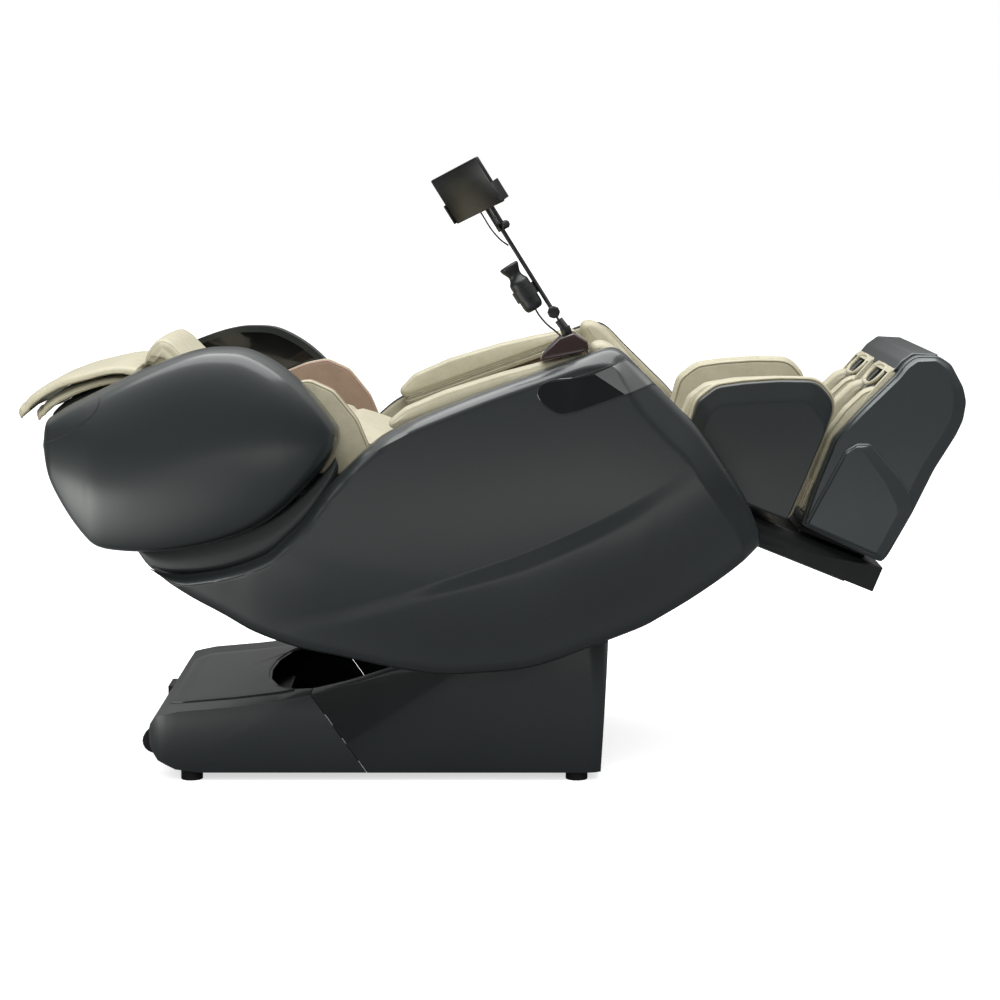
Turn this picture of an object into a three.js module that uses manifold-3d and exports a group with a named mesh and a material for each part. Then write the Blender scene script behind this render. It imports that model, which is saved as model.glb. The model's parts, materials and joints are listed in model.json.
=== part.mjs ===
// A reclining massage chair, laid back in its zero-gravity position, in millimetres.
// +X points from the head to the feet, +Y to the sitter's left and +Z up. The feet of the base stand on Z = 0,
// and the origin is under the middle of the chair's bounding box.
import * as THREE from "three";
import { mergeVertices } from "three/addons/utils/BufferGeometryUtils.js";
import { RoundedBoxGeometry } from "three/addons/geometries/RoundedBoxGeometry.js";
import Module from "manifold-3d";

const wasm = await Module();
wasm.setup();

// ---------------------------------------------------------------- driving dimensions
const RAD = Math.PI / 180;

// Pivots as [x, z] and the angles at which the three reclining sections lie at rest.
const HIP = [-125, 600];
const KNEE = [400, 680];
const TILT = [-60, 225];
const SEAT_ANGLE = -20 * RAD;
const BACK_ANGLE = 15 * RAD;
const LEG_ANGLE = 22 * RAD;

// Clearances.
const SEATED = 0.3; // between pieces that touch
const RUNNING = 1.5; // between a shaft's flats and its hole
const SHADOW_GAP = 3; // between neighbouring covers

// Body and wings.
const BODY_HALF_WIDTH = 440; // to the crown of the side panels and wings
const PANEL_INNER = 362; // where the side panels' return flanges end
const WING_INNER = 300; // where the wings' return flanges end
const SHELL_WALL = 6;

// Seat and arms, in the seat's own frame: x forward, z square to the seat, from the hip pivot.
const SEAT_HALF_WIDTH = 262;
const SEAT_LENGTH = 440;
const SEAT_THICKNESS = 70;
const ARM_INNER = 270;
const HANGER_TRACK = 168;
const ARM_OUTER = 354;
const ARM_TOP = 98; // floor of the forearm channel
const FLAP_BOTTOM = 160;

// Base.
const BASE_HALF_WIDTH = 345;
const BASE_WALL = 5;
const BASE_REAR = -752;
const BASE_FRONT = 232;
const BASE_FLOOR = 19; // underside of the covers
const BASE_CORNER = 45;
const FOOT_HEIGHT = 27.7;
const FOOT_RADIUS = 23.5;
const FOOT_TRACK = 315;
const FRAME_BOTTOM = FOOT_HEIGHT + SEATED;
const BEAM_HEIGHT = 30;
const BEAM_WIDTH = 30;
const RAIL_TRACK = 180; // half the distance between the slide rails
const RAIL_WIDTH = 26;
const RAIL_HEIGHT = 22;
const WHEEL_RADIUS = 27;
const WHEEL_WIDTH = 20;
const WHEEL = [BASE_REAR + 14, 78];
const WHEEL_TRACK = 290;

// Leg section, in its own frame: x along the leg, z towards the shin, from the knee pivot.
const LEG_HALF_WIDTH = 290;
const CALF_WALL = 18;
const CALF_PAD = 54;
const CALF_END = 243;
const CALF_FLOOR = -40;
const FOOT_HALF_WIDTH = 270;
const FOOT_WALL = 30;
const FOOT_DIVIDER = 30;
const SLEEVE_TOP = -65;
const SLEEVE_BOTTOM = -122;
const SLEEVE_START = 188;
const SLEEVE_END = 490;
const SLEEVE_HALF_WIDTH = 200;
const SLEEVE_WALL = 3;

// Back mechanism, in the back's own frame: x towards the hip, z out of the back, from the hip pivot.
const BACK_HALF_WIDTH = 232;
const BACK_RAIL_TRACK = 205;
const KNEADER_RADIUS = 34;

// Tablet arm.
const ARM_Y = -338;
const ROD_RADIUS = 4.5;
const TABLET = [188, 106, 9];
const HANDSET_RADIUS = 21;
const HANDSET_LENGTH = 107;

// ---------------------------------------------------------------- finishes
const finish = (color, roughness, metalness) => new THREE.MeshStandardMaterial({ color, roughness, metalness });
const GRAPHITE = finish(0x33383a, 0.25, 0.3);
const BLACK_GLOSS = finish(0x0b0b0c, 0.08, 0.0);
const SATIN_SILVER = finish(0xa2a3a1, 0.3, 0.8);
const IVORY = finish(0xbfb99d, 0.55, 0.0);
const TAUPE = finish(0x8f7867, 0.6, 0.0);
const BLACK_PLASTIC = finish(0x141414, 0.55, 0.0);
const STEEL = finish(0x55585a, 0.45, 0.7);
const RUBBER = finish(0x0d0d0d, 0.9, 0.0);
const SMOKED = finish(0x2b2322, 0.1, 0.0);

// ---------------------------------------------------------------- shape helpers
// A manifold-3d solid of a closed geometry, turned the right way out.
function solid(geometry) {
  const flat = geometry.index ? geometry.toNonIndexed() : geometry;
  const bare = new THREE.BufferGeometry().setAttribute("position", flat.getAttribute("position"));
  const merged = mergeVertices(bare, 1e-3);
  const index = Array.from(merged.index.array);
  const faces = [];
  for (let i = 0; i < index.length; i += 3) {
    const [a, b, c] = index.slice(i, i + 3);
    if (a !== b && b !== c && a !== c) faces.push(a, b, c);
  }
  const make = (list) =>
    new wasm.Manifold(
      new wasm.Mesh({ numProp: 3, vertProperties: merged.attributes.position.array, triVerts: new Uint32Array(list) }),
    );
  const made = make(faces);
  if (made.volume() > 0) return made;
  for (let i = 0; i < faces.length; i += 3) [faces[i + 1], faces[i + 2]] = [faces[i + 2], faces[i + 1]];
  return make(faces);
}

// The geometry of a manifold-3d solid.
function geometryOf(made) {
  const mesh = made.getMesh();
  return new THREE.BufferGeometry()
    .setAttribute("position", new THREE.BufferAttribute(new Float32Array(mesh.vertProperties), 3))
    .setIndex(new THREE.BufferAttribute(new Uint32Array(mesh.triVerts), 1));
}

const join = (first, ...rest) => geometryOf(rest.reduce((whole, g) => whole.add(solid(g)), solid(first)));
const cut = (first, ...rest) => geometryOf(rest.reduce((whole, g) => whole.subtract(solid(g)), solid(first)));
const common = (first, second) => geometryOf(solid(first).intersect(solid(second)));

// A box between two corners.
function box(x0, x1, y0, y1, z0, z1) {
  return new THREE.BoxGeometry(x1 - x0, y1 - y0, z1 - z0).translate((x0 + x1) / 2, (y0 + y1) / 2, (z0 + z1) / 2);
}

// A box between two corners with its edges rounded.
function pad(x0, x1, y0, y1, z0, z1, radius) {
  const g = new RoundedBoxGeometry(x1 - x0, y1 - y0, z1 - z0, 1, radius);
  return g.translate((x0 + x1) / 2, (y0 + y1) / 2, (z0 + z1) / 2);
}

// A cylinder across the chair, between two values of y.
function barrel(x, z, radius, y0, y1, sides = 16) {
  return new THREE.CylinderGeometry(radius, radius, y1 - y0, sides).translate(x, (y0 + y1) / 2, z);
}

// A closed [x, z] outline pushed across the chair, between two values of y.
function slab(outline, y0, y1) {
  const shape = new THREE.Shape(outline.map(([x, z]) => new THREE.Vector2(x, z)));
  const g = new THREE.ExtrudeGeometry(shape, { depth: y1 - y0, bevelEnabled: false, steps: 1 });
  return g.rotateX(Math.PI / 2).translate(0, y1, 0);
}

// A closed [x, y] outline pushed upwards, between two values of z.
function plate(outline, z0, z1) {
  const shape = new THREE.Shape(outline.map(([x, y]) => new THREE.Vector2(x, y)));
  return new THREE.ExtrudeGeometry(shape, { depth: z1 - z0, bevelEnabled: false }).translate(0, 0, z0);
}

// A smooth curve through [x, z] points, as count + 1 points.
function smooth(points, count) {
  return new THREE.SplineCurve(points.map(([x, z]) => new THREE.Vector2(x, z)))
    .getPoints(count)
    .map((p) => [p.x, p.y]);
}

// A round-cornered rectangle's outline.
function roundedRectangle(x0, x1, y0, y1, radius, steps = 4) {
  const corners = [
    [x1 - radius, y1 - radius, 0],
    [x0 + radius, y1 - radius, 90],
    [x0 + radius, y0 + radius, 180],
    [x1 - radius, y0 + radius, 270],
  ];
  return corners.flatMap(([x, y, start]) =>
    Array.from({ length: steps + 1 }, (_, k) => {
      const a = (start + (90 * k) / steps) * RAD;
      return [x + radius * Math.cos(a), y + radius * Math.sin(a)];
    }),
  );
}

// A closed body between two grids of points, joined along all four edges.
function between(outer, inner) {
  const position = [];
  const quad = (a, b, c, d) => {
    for (const p of [a, b, c, a, c, d]) position.push(...p);
  };
  const rows = outer.length - 1;
  const columns = outer[0].length - 1;
  for (let i = 0; i < rows; i++) {
    for (let j = 0; j < columns; j++) {
      quad(outer[i][j], outer[i + 1][j], outer[i + 1][j + 1], outer[i][j + 1]);
      quad(inner[i][j], inner[i][j + 1], inner[i + 1][j + 1], inner[i + 1][j]);
    }
    quad(outer[i][0], inner[i][0], inner[i + 1][0], outer[i + 1][0]);
    quad(outer[i][columns], outer[i + 1][columns], inner[i + 1][columns], inner[i][columns]);
  }
  for (let j = 0; j < columns; j++) {
    quad(outer[0][j], outer[0][j + 1], inner[0][j + 1], inner[0][j]);
    quad(outer[rows][j], inner[rows][j], inner[rows][j + 1], outer[rows][j + 1]);
  }
  const g = new THREE.BufferGeometry();
  return g.setAttribute("position", new THREE.Float32BufferAttribute(position, 3));
}

// A bulging side cover between a lower and an upper rail that meet at both tips. Each step of the section is
// [share of the way from the lower to the upper rail, share of the bulge], and the bulge fades out at the tips.
function leafShell(lower, upper, section, inner, outer, wall) {
  const last = lower.length - 1;
  const all = [...lower, ...upper];
  const span = [0, 1].map((k) => [Math.min(...all.map((p) => p[k])), Math.max(...all.map((p) => p[k]))]);
  const middle = span.map(([a, b]) => (a + b) / 2);
  const shrink = span.map(([a, b]) => 1 - (2 * wall) / (b - a));
  const skin = (inset) =>
    lower.map((low, i) => {
      const high = upper[i];
      const along = (2 * i) / last - 1;
      const fade = Math.sqrt(1 - along ** 6);
      return section.map(([share, bulge], j) => {
        const raw = [low[0] + (high[0] - low[0]) * share, low[1] + (high[1] - low[1]) * share];
        const [x, z] = inset ? raw.map((v, k) => middle[k] + (v - middle[k]) * shrink[k]) : raw;
        const edge = j === 0 || j === section.length - 1;
        const depth = inner + (outer - inner) * bulge * fade;
        return [x, -(edge ? inner : Math.max(inner + (inset ? 0.5 : 1), depth - (inset ? wall : 0))), z];
      });
    });
  return between(skin(false), skin(true));
}

// The same piece on the sitter's left side.
function mirrored(geometry) {
  return geometryOf(solid(geometry).mirror([0, 1, 0]));
}

const chair = new THREE.Group();

function section([x, z], angle) {
  const group = new THREE.Group();
  group.position.set(x, 0, z);
  group.rotation.y = angle;
  chair.add(group);
  return group;
}

function add(group, name, geometry, material) {
  const mesh = new THREE.Mesh(geometryOf(solid(geometry)), material);
  mesh.name = name;
  group.add(mesh);
  return mesh;
}

// The sitter's right-hand piece as given, and its mirror image on the left.
function addPair(group, name, geometry, material) {
  add(group, name + "_right", geometry, material);
  add(group, name + "_left", mirrored(geometry), material);
}

const seat = section(HIP, SEAT_ANGLE);
const back = section(HIP, BACK_ANGLE);
const leg = section(KNEE, LEG_ANGLE);

// ---------------------------------------------------------------- side panels
// The leaf-shaped side of the body: the upper rail runs from the tail behind the seat, round the wing, along
// the armrest and down the front edge to the toe, and the lower rail runs under the belly.
const PANEL_STEPS = 18;
const panelUpper = smooth(
  [
    [-731, 461], [-640, 458], [-565, 466], [-491, 493], [-440, 533], [-400, 580], [-365, 626], [-335, 661],
    [-270, 723], [-163, 786], [-37, 836], [89, 881], [190, 919], [232, 929], [262, 912], [355, 819],
    [430, 738], [492, 640], [531, 575], [547, 524],
  ],
  PANEL_STEPS,
);
const panelLower = smooth(
  [
    [-731, 461], [-680, 429], [-620, 396], [-560, 363], [-500, 331], [-420, 300], [-340, 283], [-260, 265],
    [-180, 250], [-99, 243], [0, 246], [80, 262], [173, 295], [270, 332], [350, 372], [430, 424],
    [490, 468], [530, 500], [547, 524],
  ],
  PANEL_STEPS,
);
const panelSection = [
  [0, 0], [0.004, 0.42], [0.06, 0.68], [0.26, 0.9], [0.55, 1], [0.85, 0.86], [0.996, 0.45], [1, 0],
];
addPair(
  chair,
  "side_panel",
  leafShell(panelLower, panelUpper, panelSection, PANEL_INNER, BODY_HALF_WIDTH, SHELL_WALL),
  GRAPHITE,
);

// Height of a rail at a given x, by straight lines between its points.
function heightAt(rail, x) {
  const k = rail.findIndex((p, i) => i > 0 && p[0] >= x);
  const [a, b] = [rail[k - 1], rail[k]];
  return a[1] + ((b[1] - a[1]) * (x - a[0])) / (b[0] - a[0]);
}

// Pans that close the body underneath, each a bent sheet that follows the panels' lower rail.
const PAN_LIFT = 17;
const PAN_WALL = 4;
function pan(x0, x1, halfWidth, steps) {
  const row = (lift) =>
    Array.from({ length: steps + 1 }, (_, i) => {
      const x = x0 + ((x1 - x0) * i) / steps;
      const z = heightAt(panelLower, x) + lift;
      return [[x, -halfWidth, z], [x, halfWidth, z]];
    });
  return between(row(PAN_LIFT), row(PAN_LIFT + PAN_WALL));
}
const PAN_SPLIT = -300;
add(chair, "rear_pan", pan(-650, PAN_SPLIT - SHADOW_GAP, PANEL_INNER - SHADOW_GAP, 7), BLACK_PLASTIC);
const hangerSlots = [-1, 1].map((sign) => {
  const y = sign * HANGER_TRACK;
  return box(TILT[0] - 45, TILT[0] + 60, y - 12, y + 12, 200, 340);
});
add(chair, "belly_pan", cut(pan(PAN_SPLIT, 250, 285, 8), ...hangerSlots), BLACK_PLASTIC);

// Badge window, set on the outside of each panel near the front of the armrest.
const windowOutline = [
  [97, 858], [88, 842], [100, 822], [124, 806], [160, 797], [219, 820], [166, 870],
];
const windowFace = BODY_HALF_WIDTH + 2;
addPair(chair, "badge_window", slab(windowOutline, -windowFace - 3, -windowFace), BLACK_GLOSS);

// ---------------------------------------------------------------- seat and arms
// Steel seat frame: a seat plate on two side members, the lugs that hold the hip and knee pivots, and the two
// hangers that reach down through the belly pan to the tilt shaft.
const FRAME_SIDE = 232; // middle of each side member
const TUBE = 30;
const PIN_RADIUS = 12;
const PIN_END = 246;
const BOSS_RADIUS = 24;
const PLATE_BOTTOM = -SEAT_THICKNESS - 5;
const inSeat = ([x, z]) => {
  const [dx, dz] = [x - HIP[0], z - HIP[1]];
  return [
    dx * Math.cos(SEAT_ANGLE) - dz * Math.sin(SEAT_ANGLE),
    dx * Math.sin(SEAT_ANGLE) + dz * Math.cos(SEAT_ANGLE),
  ];
};
function seatFrame() {
  const [kneeX, kneeZ] = inSeat(KNEE);
  const [tiltX, tiltZ] = inSeat(TILT);
  const low = PLATE_BOTTOM - TUBE;
  const high = PLATE_BOTTOM + 0.5;
  const parts = [
    box(30, 400, -SEAT_HALF_WIDTH + 3, SEAT_HALF_WIDTH - 3, PLATE_BOTTOM, -SEAT_THICKNESS - SEATED),
  ];
  for (const sign of [-1, 1]) {
    const [y0, y1] = [sign * FRAME_SIDE - TUBE / 2, sign * FRAME_SIDE + TUBE / 2];
    parts.push(box(20, 400, y0, y1, low, high));
    parts.push(slab([[20, low], [70, low], [70, high], [26, high], [23, 10], [-18, 16], [-18, -20]], y0, y1));
    parts.push(slab([[380, low], [kneeX + 16, kneeZ - 18], [kneeX + 16, kneeZ + 18], [380, high]], y0, y1));
    parts.push(barrel(0, 0, BOSS_RADIUS, y0, y1));
    parts.push(barrel(kneeX, kneeZ, BOSS_RADIUS, y0, y1));
    const [h0, h1] = [sign * HANGER_TRACK - 4, sign * HANGER_TRACK + 4];
    parts.push(slab([[tiltX - 22, tiltZ], [tiltX + 22, tiltZ], [380, high], [60, high]], h0, h1));
    parts.push(barrel(tiltX, tiltZ, BOSS_RADIUS, h0, h1));
  }
  const holes = [[0, 0], [kneeX, kneeZ], [tiltX, tiltZ]].map(([x, z]) => barrel(x, z, PIN_RADIUS + RUNNING, -300, 300));
  return cut(join(...parts), ...holes);
}
add(seat, "seat_frame", seatFrame(), STEEL);

add(
  seat,
  "seat_cushion",
  pad(30, SEAT_LENGTH, -SEAT_HALF_WIDTH, SEAT_HALF_WIDTH, -SEAT_THICKNESS, 5, 24),
  TAUPE,
);

// Each arm is an upholstered block with a forearm channel on top, a padded flap that hangs over the channel
// and a block at its front end.
const CHANNEL_FLOOR = ARM_TOP - 8;
addPair(
  seat,
  "arm_pad",
  join(
    pad(40, 400, -ARM_OUTER, -ARM_INNER, -70, CHANNEL_FLOOR, 14),
    box(60, 385, -ARM_OUTER, -ARM_INNER - 6, CHANNEL_FLOOR - 10, ARM_TOP),
    box(25, 400, -ARM_OUTER, -ARM_OUTER + 10, CHANNEL_FLOOR - 10, FLAP_BOTTOM - SEATED),
  ),
  TAUPE,
);
const flapTop = [[388, 196], [300, 210], [214, 221], [90, 228], [0, 222], [-43, 200]];
const flapOutline = [[-43, 172], [-30, FLAP_BOTTOM], [380, FLAP_BOTTOM], [390, 170], ...flapTop];
addPair(seat, "arm_flap", slab(flapOutline, -ARM_OUTER, -ARM_INNER - 18), IVORY);
const noseOutline = [
  [406, -40], [512, -40], [498, 35], [470, 108], [448, 158], [430, 179], [406, 184],
];
addPair(seat, "arm_nose", slab(noseOutline, -ARM_OUTER, -ARM_INNER - 2), IVORY);

// ---------------------------------------------------------------- backrest
// The shoulder wings: bulging covers round the head and shoulders, each with a speaker liner inside.
const WING_STEPS = 18;
const wingUpper = smooth(
  [
    [-953, 726], [-949, 762], [-925, 787], [-890, 807], [-815, 844], [-741, 879], [-666, 908], [-615, 921],
    [-576, 924], [-530, 921], [-491, 906], [-450, 881], [-415, 851], [-380, 814], [-352, 777], [-337, 754],
    [-334, 736],
  ],
  WING_STEPS,
);
const wingLower = smooth(
  [
    [-953, 726], [-946, 691], [-926, 646], [-891, 591], [-851, 541], [-820, 519], [-776, 511], [-710, 508],
    [-640, 516], [-565, 534], [-500, 559], [-450, 591], [-400, 636], [-361, 680], [-341, 711], [-336, 724],
    [-334, 736],
  ],
  WING_STEPS,
);
const wingSection = [
  [0, 0], [0.004, 0.4], [0.06, 0.68], [0.25, 0.93], [0.5, 1], [0.8, 0.86], [0.985, 0.42], [1, 0],
];
addPair(
  chair,
  "wing_shell",
  leafShell(wingLower, wingUpper, wingSection, WING_INNER, BODY_HALF_WIDTH, SHELL_WALL),
  GRAPHITE,
);

// Shoulder pads that close in on the upper arms.
const shoulderOutline = smooth(
  [
    [-590, 742], [-560, 785], [-511, 815], [-447, 841], [-400, 850], [-350, 827], [-302, 767], [-276, 704],
    [-272, 668], [-300, 648], [-400, 655], [-500, 678], [-570, 706], [-590, 742],
  ],
  20,
).slice(0, -1);
addPair(chair, "shoulder_pad", slab(shoulderOutline, -280, -240), IVORY);

// The rear cover between the wings, a bent sheet with a slight crown across it.
const backSpine = smooth(
  [
    [-990, 775], [-985, 725], [-960, 670], [-905, 590], [-850, 535], [-790, 503], [-730, 488], [-660, 486],
    [-600, 492],
  ],
  12,
);
function backCover() {
  const halfWidth = WING_INNER - SHADOW_GAP;
  const lanes = [-1, -0.6, 0, 0.6, 1];
  const skin = (inside) =>
    backSpine.map(([x, z], i) => {
      const [a, b] = [backSpine[Math.max(0, i - 1)], backSpine[Math.min(backSpine.length - 1, i + 1)]];
      const length = Math.hypot(b[0] - a[0], b[1] - a[1]);
      const out = [(b[1] - a[1]) / length, -(b[0] - a[0]) / length];
      return lanes.map((s) => {
        const rise = 14 * (1 - s * s) - (inside ? SHELL_WALL - 1 : 0);
        return [x + out[0] * rise, s * halfWidth, z + out[1] * rise];
      });
    });
  return between(skin(false), skin(true));
}
add(chair, "back_cover", backCover(), GRAPHITE);

// The covers that bridge the wings and the side panels and slide inside the body as the back rises.
const hipCoverOutline = [
  [-765, 504], [-700, 503], [-638, 511], [-562, 529], [-497, 554], [-446, 586], [-396, 631], [-357, 675],
  [-342, 697], [-336, 672], [-352, 630], [-385, 577], [-425, 528], [-480, 482], [-560, 452], [-640, 444],
  [-722, 456],
];
addPair(chair, "hip_cover", slab(hipCoverOutline, -357, -350), GRAPHITE);

// A pair of pivot pins that reach outwards from two cheeks into the seat frame's bosses.
function pivotPins(track) {
  return [-1, 1].map((sign) => {
    const [y0, y1] = [sign * track, sign * PIN_END].sort((a, b) => a - b);
    return barrel(0, 0, PIN_RADIUS, y0, y1);
  });
}

// Steel back frame with the two rails that the massage carriage rides on.
const BACK_RAIL = [-660, -95]; // from the head end to the hip end
const railTop = -26;
function backFrame() {
  const rail = (sign) => box(...BACK_RAIL, sign * BACK_RAIL_TRACK - 12, sign * BACK_RAIL_TRACK + 12, -62, railTop);
  const lug = (sign) =>
    slab([[-110, -62], [-20, -24], [20, -14], [20, 16], [-20, 20], [-110, railTop]],
      sign * BACK_RAIL_TRACK - 10, sign * BACK_RAIL_TRACK + 10);
  const ties = [-652, -104].map((x) => box(x - 8, x + 8, -BACK_RAIL_TRACK, BACK_RAIL_TRACK, -62, -46));
  return join(rail(-1), rail(1), lug(-1), lug(1), ...ties, ...pivotPins(BACK_RAIL_TRACK));
}
add(back, "back_frame", backFrame(), STEEL);
add(back, "back_cushion", pad(-690, -62, -BACK_HALF_WIDTH, BACK_HALF_WIDTH, 22, 95, 24), TAUPE);
add(back, "head_pillow", pad(-692, -545, -170, 170, 96, 165, 26), IVORY);

// The upper end of the quilted back cover, which hangs over the head end.
const drapeTop = smooth([[-694, 104], [-785, 76], [-855, 34], [-900, -18], [-922, -62]], 6);
const drapeBottom = smooth([[-908, -66], [-880, -26], [-838, 12], [-775, 50], [-694, 72]], 6);
add(back, "head_drape", slab([...drapeTop, ...drapeBottom], -225, 225), IVORY);

// The massage carriage with its two kneading heads.
const CARRIAGE = [-430, -300];
const KNEADER_Y = 100;
const kneaderX = (CARRIAGE[0] + CARRIAGE[1]) / 2;
const kneaderZ = -KNEADER_RADIUS + 18;
function massageCarriage() {
  const body = box(...CARRIAGE, -180, 180, -110, -64);
  const cheeks = [-150, -60, 60, 150].map((y) =>
    slab([[kneaderX - 30, -66], [kneaderX - 14, -10], [kneaderX + 14, -10], [kneaderX + 30, -66]], y - 5, y + 5),
  );
  return join(body, ...cheeks);
}
const kneaderHole = barrel(kneaderX, kneaderZ - 4, 8 + RUNNING, -160, 160, 12);
add(back, "massage_carriage", cut(massageCarriage(), kneaderHole), BLACK_PLASTIC);
function kneader() {
  const z = kneaderZ - 4;
  const discs = [-1, 1].map((sign) =>
    barrel(kneaderX, z, KNEADER_RADIUS, sign * KNEADER_Y - 18, sign * KNEADER_Y + 18, 14),
  );
  return join(barrel(kneaderX, z, 8, -158, 158, 12), ...discs);
}
add(back, "kneading_heads", kneader(), RUBBER);

// ---------------------------------------------------------------- leg section
// The leg frame turns about the knee and carries the calf unit; its beam is the rail for the foot unit.
const LEG_CHEEK = 205;
function legFrame() {
  const cheeks = [-1, 1].map((sign) =>
    slab([[-16, 10], [-8, 18], [12, 16], [110, -66], [110, -136], [70, -136], [30, -60], [-14, -14]],
      sign * LEG_CHEEK - 6, sign * LEG_CHEEK + 6),
  );
  const beam = [
    box(100, 420, -150, 150, -112, -104),
    box(100, 420, -150, -142, -112, -75),
    box(100, 420, 142, 150, -112, -75),
  ];
  const bridge = box(92, 110, -LEG_CHEEK, LEG_CHEEK, -134, CALF_FLOOR - 2);
  const skid = box(92, 441, -110, 110, -134, -130);
  const tray = box(30, CALF_END - 5, -LEG_CHEEK, LEG_CHEEK, CALF_FLOOR - 6, CALF_FLOOR - SEATED);
  return join(...cheeks, ...beam, bridge, skid, tray, ...pivotPins(LEG_CHEEK));
}
add(leg, "leg_frame", legFrame(), STEEL);

const calfOutline = [
  [-20, -30], [-31, 124], [-5, 168], [45, 197], [111, 229], [176, 254], [197, 252], [230, 234], [CALF_END - 1, 212],
  [CALF_END + 2, 161], [CALF_END + 2, 60], [CALF_END, CALF_FLOOR], [156, CALF_FLOOR], [60, CALF_FLOOR],
];
const grow = (outline, [cx, cz], share) => outline.map(([x, z]) => [cx + (x - cx) * share, cz + (z - cz) * share]);
addPair(leg, "calf_shell", slab(calfOutline, -LEG_HALF_WIDTH, -LEG_HALF_WIDTH + CALF_WALL), GRAPHITE);
const KNEE_ROOM = 34;
const calfPadOutline = [
  [KNEE_ROOM, CALF_FLOOR + 2], [KNEE_ROOM, KNEE_ROOM], [-24, KNEE_ROOM],
  ...grow(calfOutline, [120, 60], 1.035).slice(1, -4),
  [CALF_END + 7, CALF_FLOOR + 2],
];
addPair(
  leg,
  "calf_pad",
  slab(calfPadOutline, -LEG_HALF_WIDTH + CALF_WALL + SEATED, -LEG_HALF_WIDTH + CALF_WALL + CALF_PAD),
  IVORY,
);
const dividerOutline = [
  [-20, CALF_FLOOR + 28], [-24, 110], [0, 150], [60, 186], [150, 226], [200, 224], [236, 190], [CALF_END, CALF_FLOOR + 28],
];
add(
  leg,
  "calf_cushion",
  join(slab(dividerOutline, -28, 28), pad(-14, CALF_END, -195, 195, CALF_FLOOR, CALF_FLOOR + 34, 8)),
  TAUPE,
);

// The foot unit: a shell with two foot wells, whose sole rollers turn behind a lining, on a sleeve that slides
// along the leg frame's beam.
const footOutline = [
  [277, -39], [271, 60], [269, 158], [300, 240], [338, 330], [346, 362], [360, 384], [406, 402], [438, 396],
  [482, 360], [500, 334], [509, 297], [508, 262], [494, 176], [488, 72], [476, -30], [469, -50], [440, -49],
];
const wellOutline = [
  [240, -15], [240, 150], [262, 190], [300, 280], [322, 340], [350, 372], [400, 372], [440, 340], [462, 280],
  [476, 200], [478, 100], [470, -15],
];
const WELL = [FOOT_DIVIDER, FOOT_HALF_WIDTH - FOOT_WALL];
const TOE_HOLE = [WELL[0] + 32, WELL[1] - 52];
const ROLLER = [460, 95];
const SPINDLE_END = FOOT_HALF_WIDTH - 26;
function footShell() {
  const wells = [-1, 1].map((sign) => {
    const [a, b] = WELL.map((y) => sign * y).sort((p, q) => p - q);
    return slab(wellOutline, a, b);
  });
  const toeHoles = [-1, 1].map((sign) => {
    const [a, b] = TOE_HOLE.map((y) => sign * y).sort((p, q) => p - q);
    return slab([[300, 300], [372, 430], [402, 430], [402, 340], [330, 300]], a, b);
  });
  const socket = barrel(...ROLLER, 5 + RUNNING, -SPINDLE_END - 2, SPINDLE_END + 2, 12);
  return cut(slab(footOutline, -FOOT_HALF_WIDTH, FOOT_HALF_WIDTH), ...wells, ...toeHoles, socket);
}
add(leg, "foot_shell", footShell(), GRAPHITE);
const liningOuter = [
  [272, -11], [274, 160], [304, 270], [326, 332], [352, 366], [396, 366], [425, 335], [441, 280], [444, 200],
  [444, -11],
];
const liningInner = [
  [200, 1], [200, 200], [290, 270], [318, 322], [352, 354], [390, 354], [414, 328], [429, 276], [432, 200],
  [432, 1],
];
const lining = cut(slab(liningOuter, -WELL[1] + SEATED, -WELL[0] - SEATED), slab(liningInner, -WELL[1] + 12, -WELL[0] - 12));
addPair(leg, "foot_lining", cut(lining, slab([[330, 300], [372, 430], [402, 430], [402, 330]], -TOE_HOLE[1], -TOE_HOLE[0])), IVORY);
const drum = (y0, y1) => barrel(...ROLLER, 13, y0, y1, 12);
const spindle = barrel(...ROLLER, 5, -SPINDLE_END, SPINDLE_END, 12);
add(leg, "sole_roller", join(spindle, drum(-WELL[1] + 12, -WELL[0] - 12), drum(WELL[0] + 12, WELL[1] - 12)), RUBBER);
function footSleeve() {
  const outside = box(SLEEVE_START, SLEEVE_END, -SLEEVE_HALF_WIDTH, SLEEVE_HALF_WIDTH, SLEEVE_BOTTOM, SLEEVE_TOP);
  const inside = box(SLEEVE_START - 1, SLEEVE_END - 4, -SLEEVE_HALF_WIDTH + SLEEVE_WALL, SLEEVE_HALF_WIDTH - SLEEVE_WALL,
    SLEEVE_BOTTOM + SLEEVE_WALL, SLEEVE_TOP - SLEEVE_WALL);
  const saddle = box(300, 455, -140, 140, SLEEVE_TOP - 1, -50 - SEATED);
  return join(cut(outside, inside), saddle);
}
add(leg, "foot_sleeve", footSleeve(), BLACK_PLASTIC);

// ---------------------------------------------------------------- base
// The base cover: one tapering box with a low domed rear deck and an opening that the body dips into, split
// by a slanting seam into a rear and a front moulding.
const baseProfile = [
  [BASE_REAR + 112, BASE_FLOOR], [BASE_REAR + 62, 26], [BASE_REAR + 24, 45], [BASE_REAR + 6, 70], [BASE_REAR, 92],
  [BASE_REAR + 7, 120], [BASE_REAR + 22, 142], [BASE_REAR + 72, 152],
  [-567, 162], [-470, 174], [-400, 188], [-310, 213], [-226, 240], [-100, 268], [60, 288], [BASE_FRONT, 297],
  [224, 150], [216, BASE_FLOOR],
];
const basePlan = roundedRectangle(BASE_REAR, BASE_FRONT, -BASE_HALF_WIDTH, BASE_HALF_WIDTH, BASE_CORNER);
const openingPlan = [
  [-512, 0], [-505, -100], [-480, -190], [-440, -250], [-390, -283], [-330, -295], [210, -295], [210, 295],
  [-330, 295], [-390, 283], [-440, 250], [-480, 190], [-505, 100],
];
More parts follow.
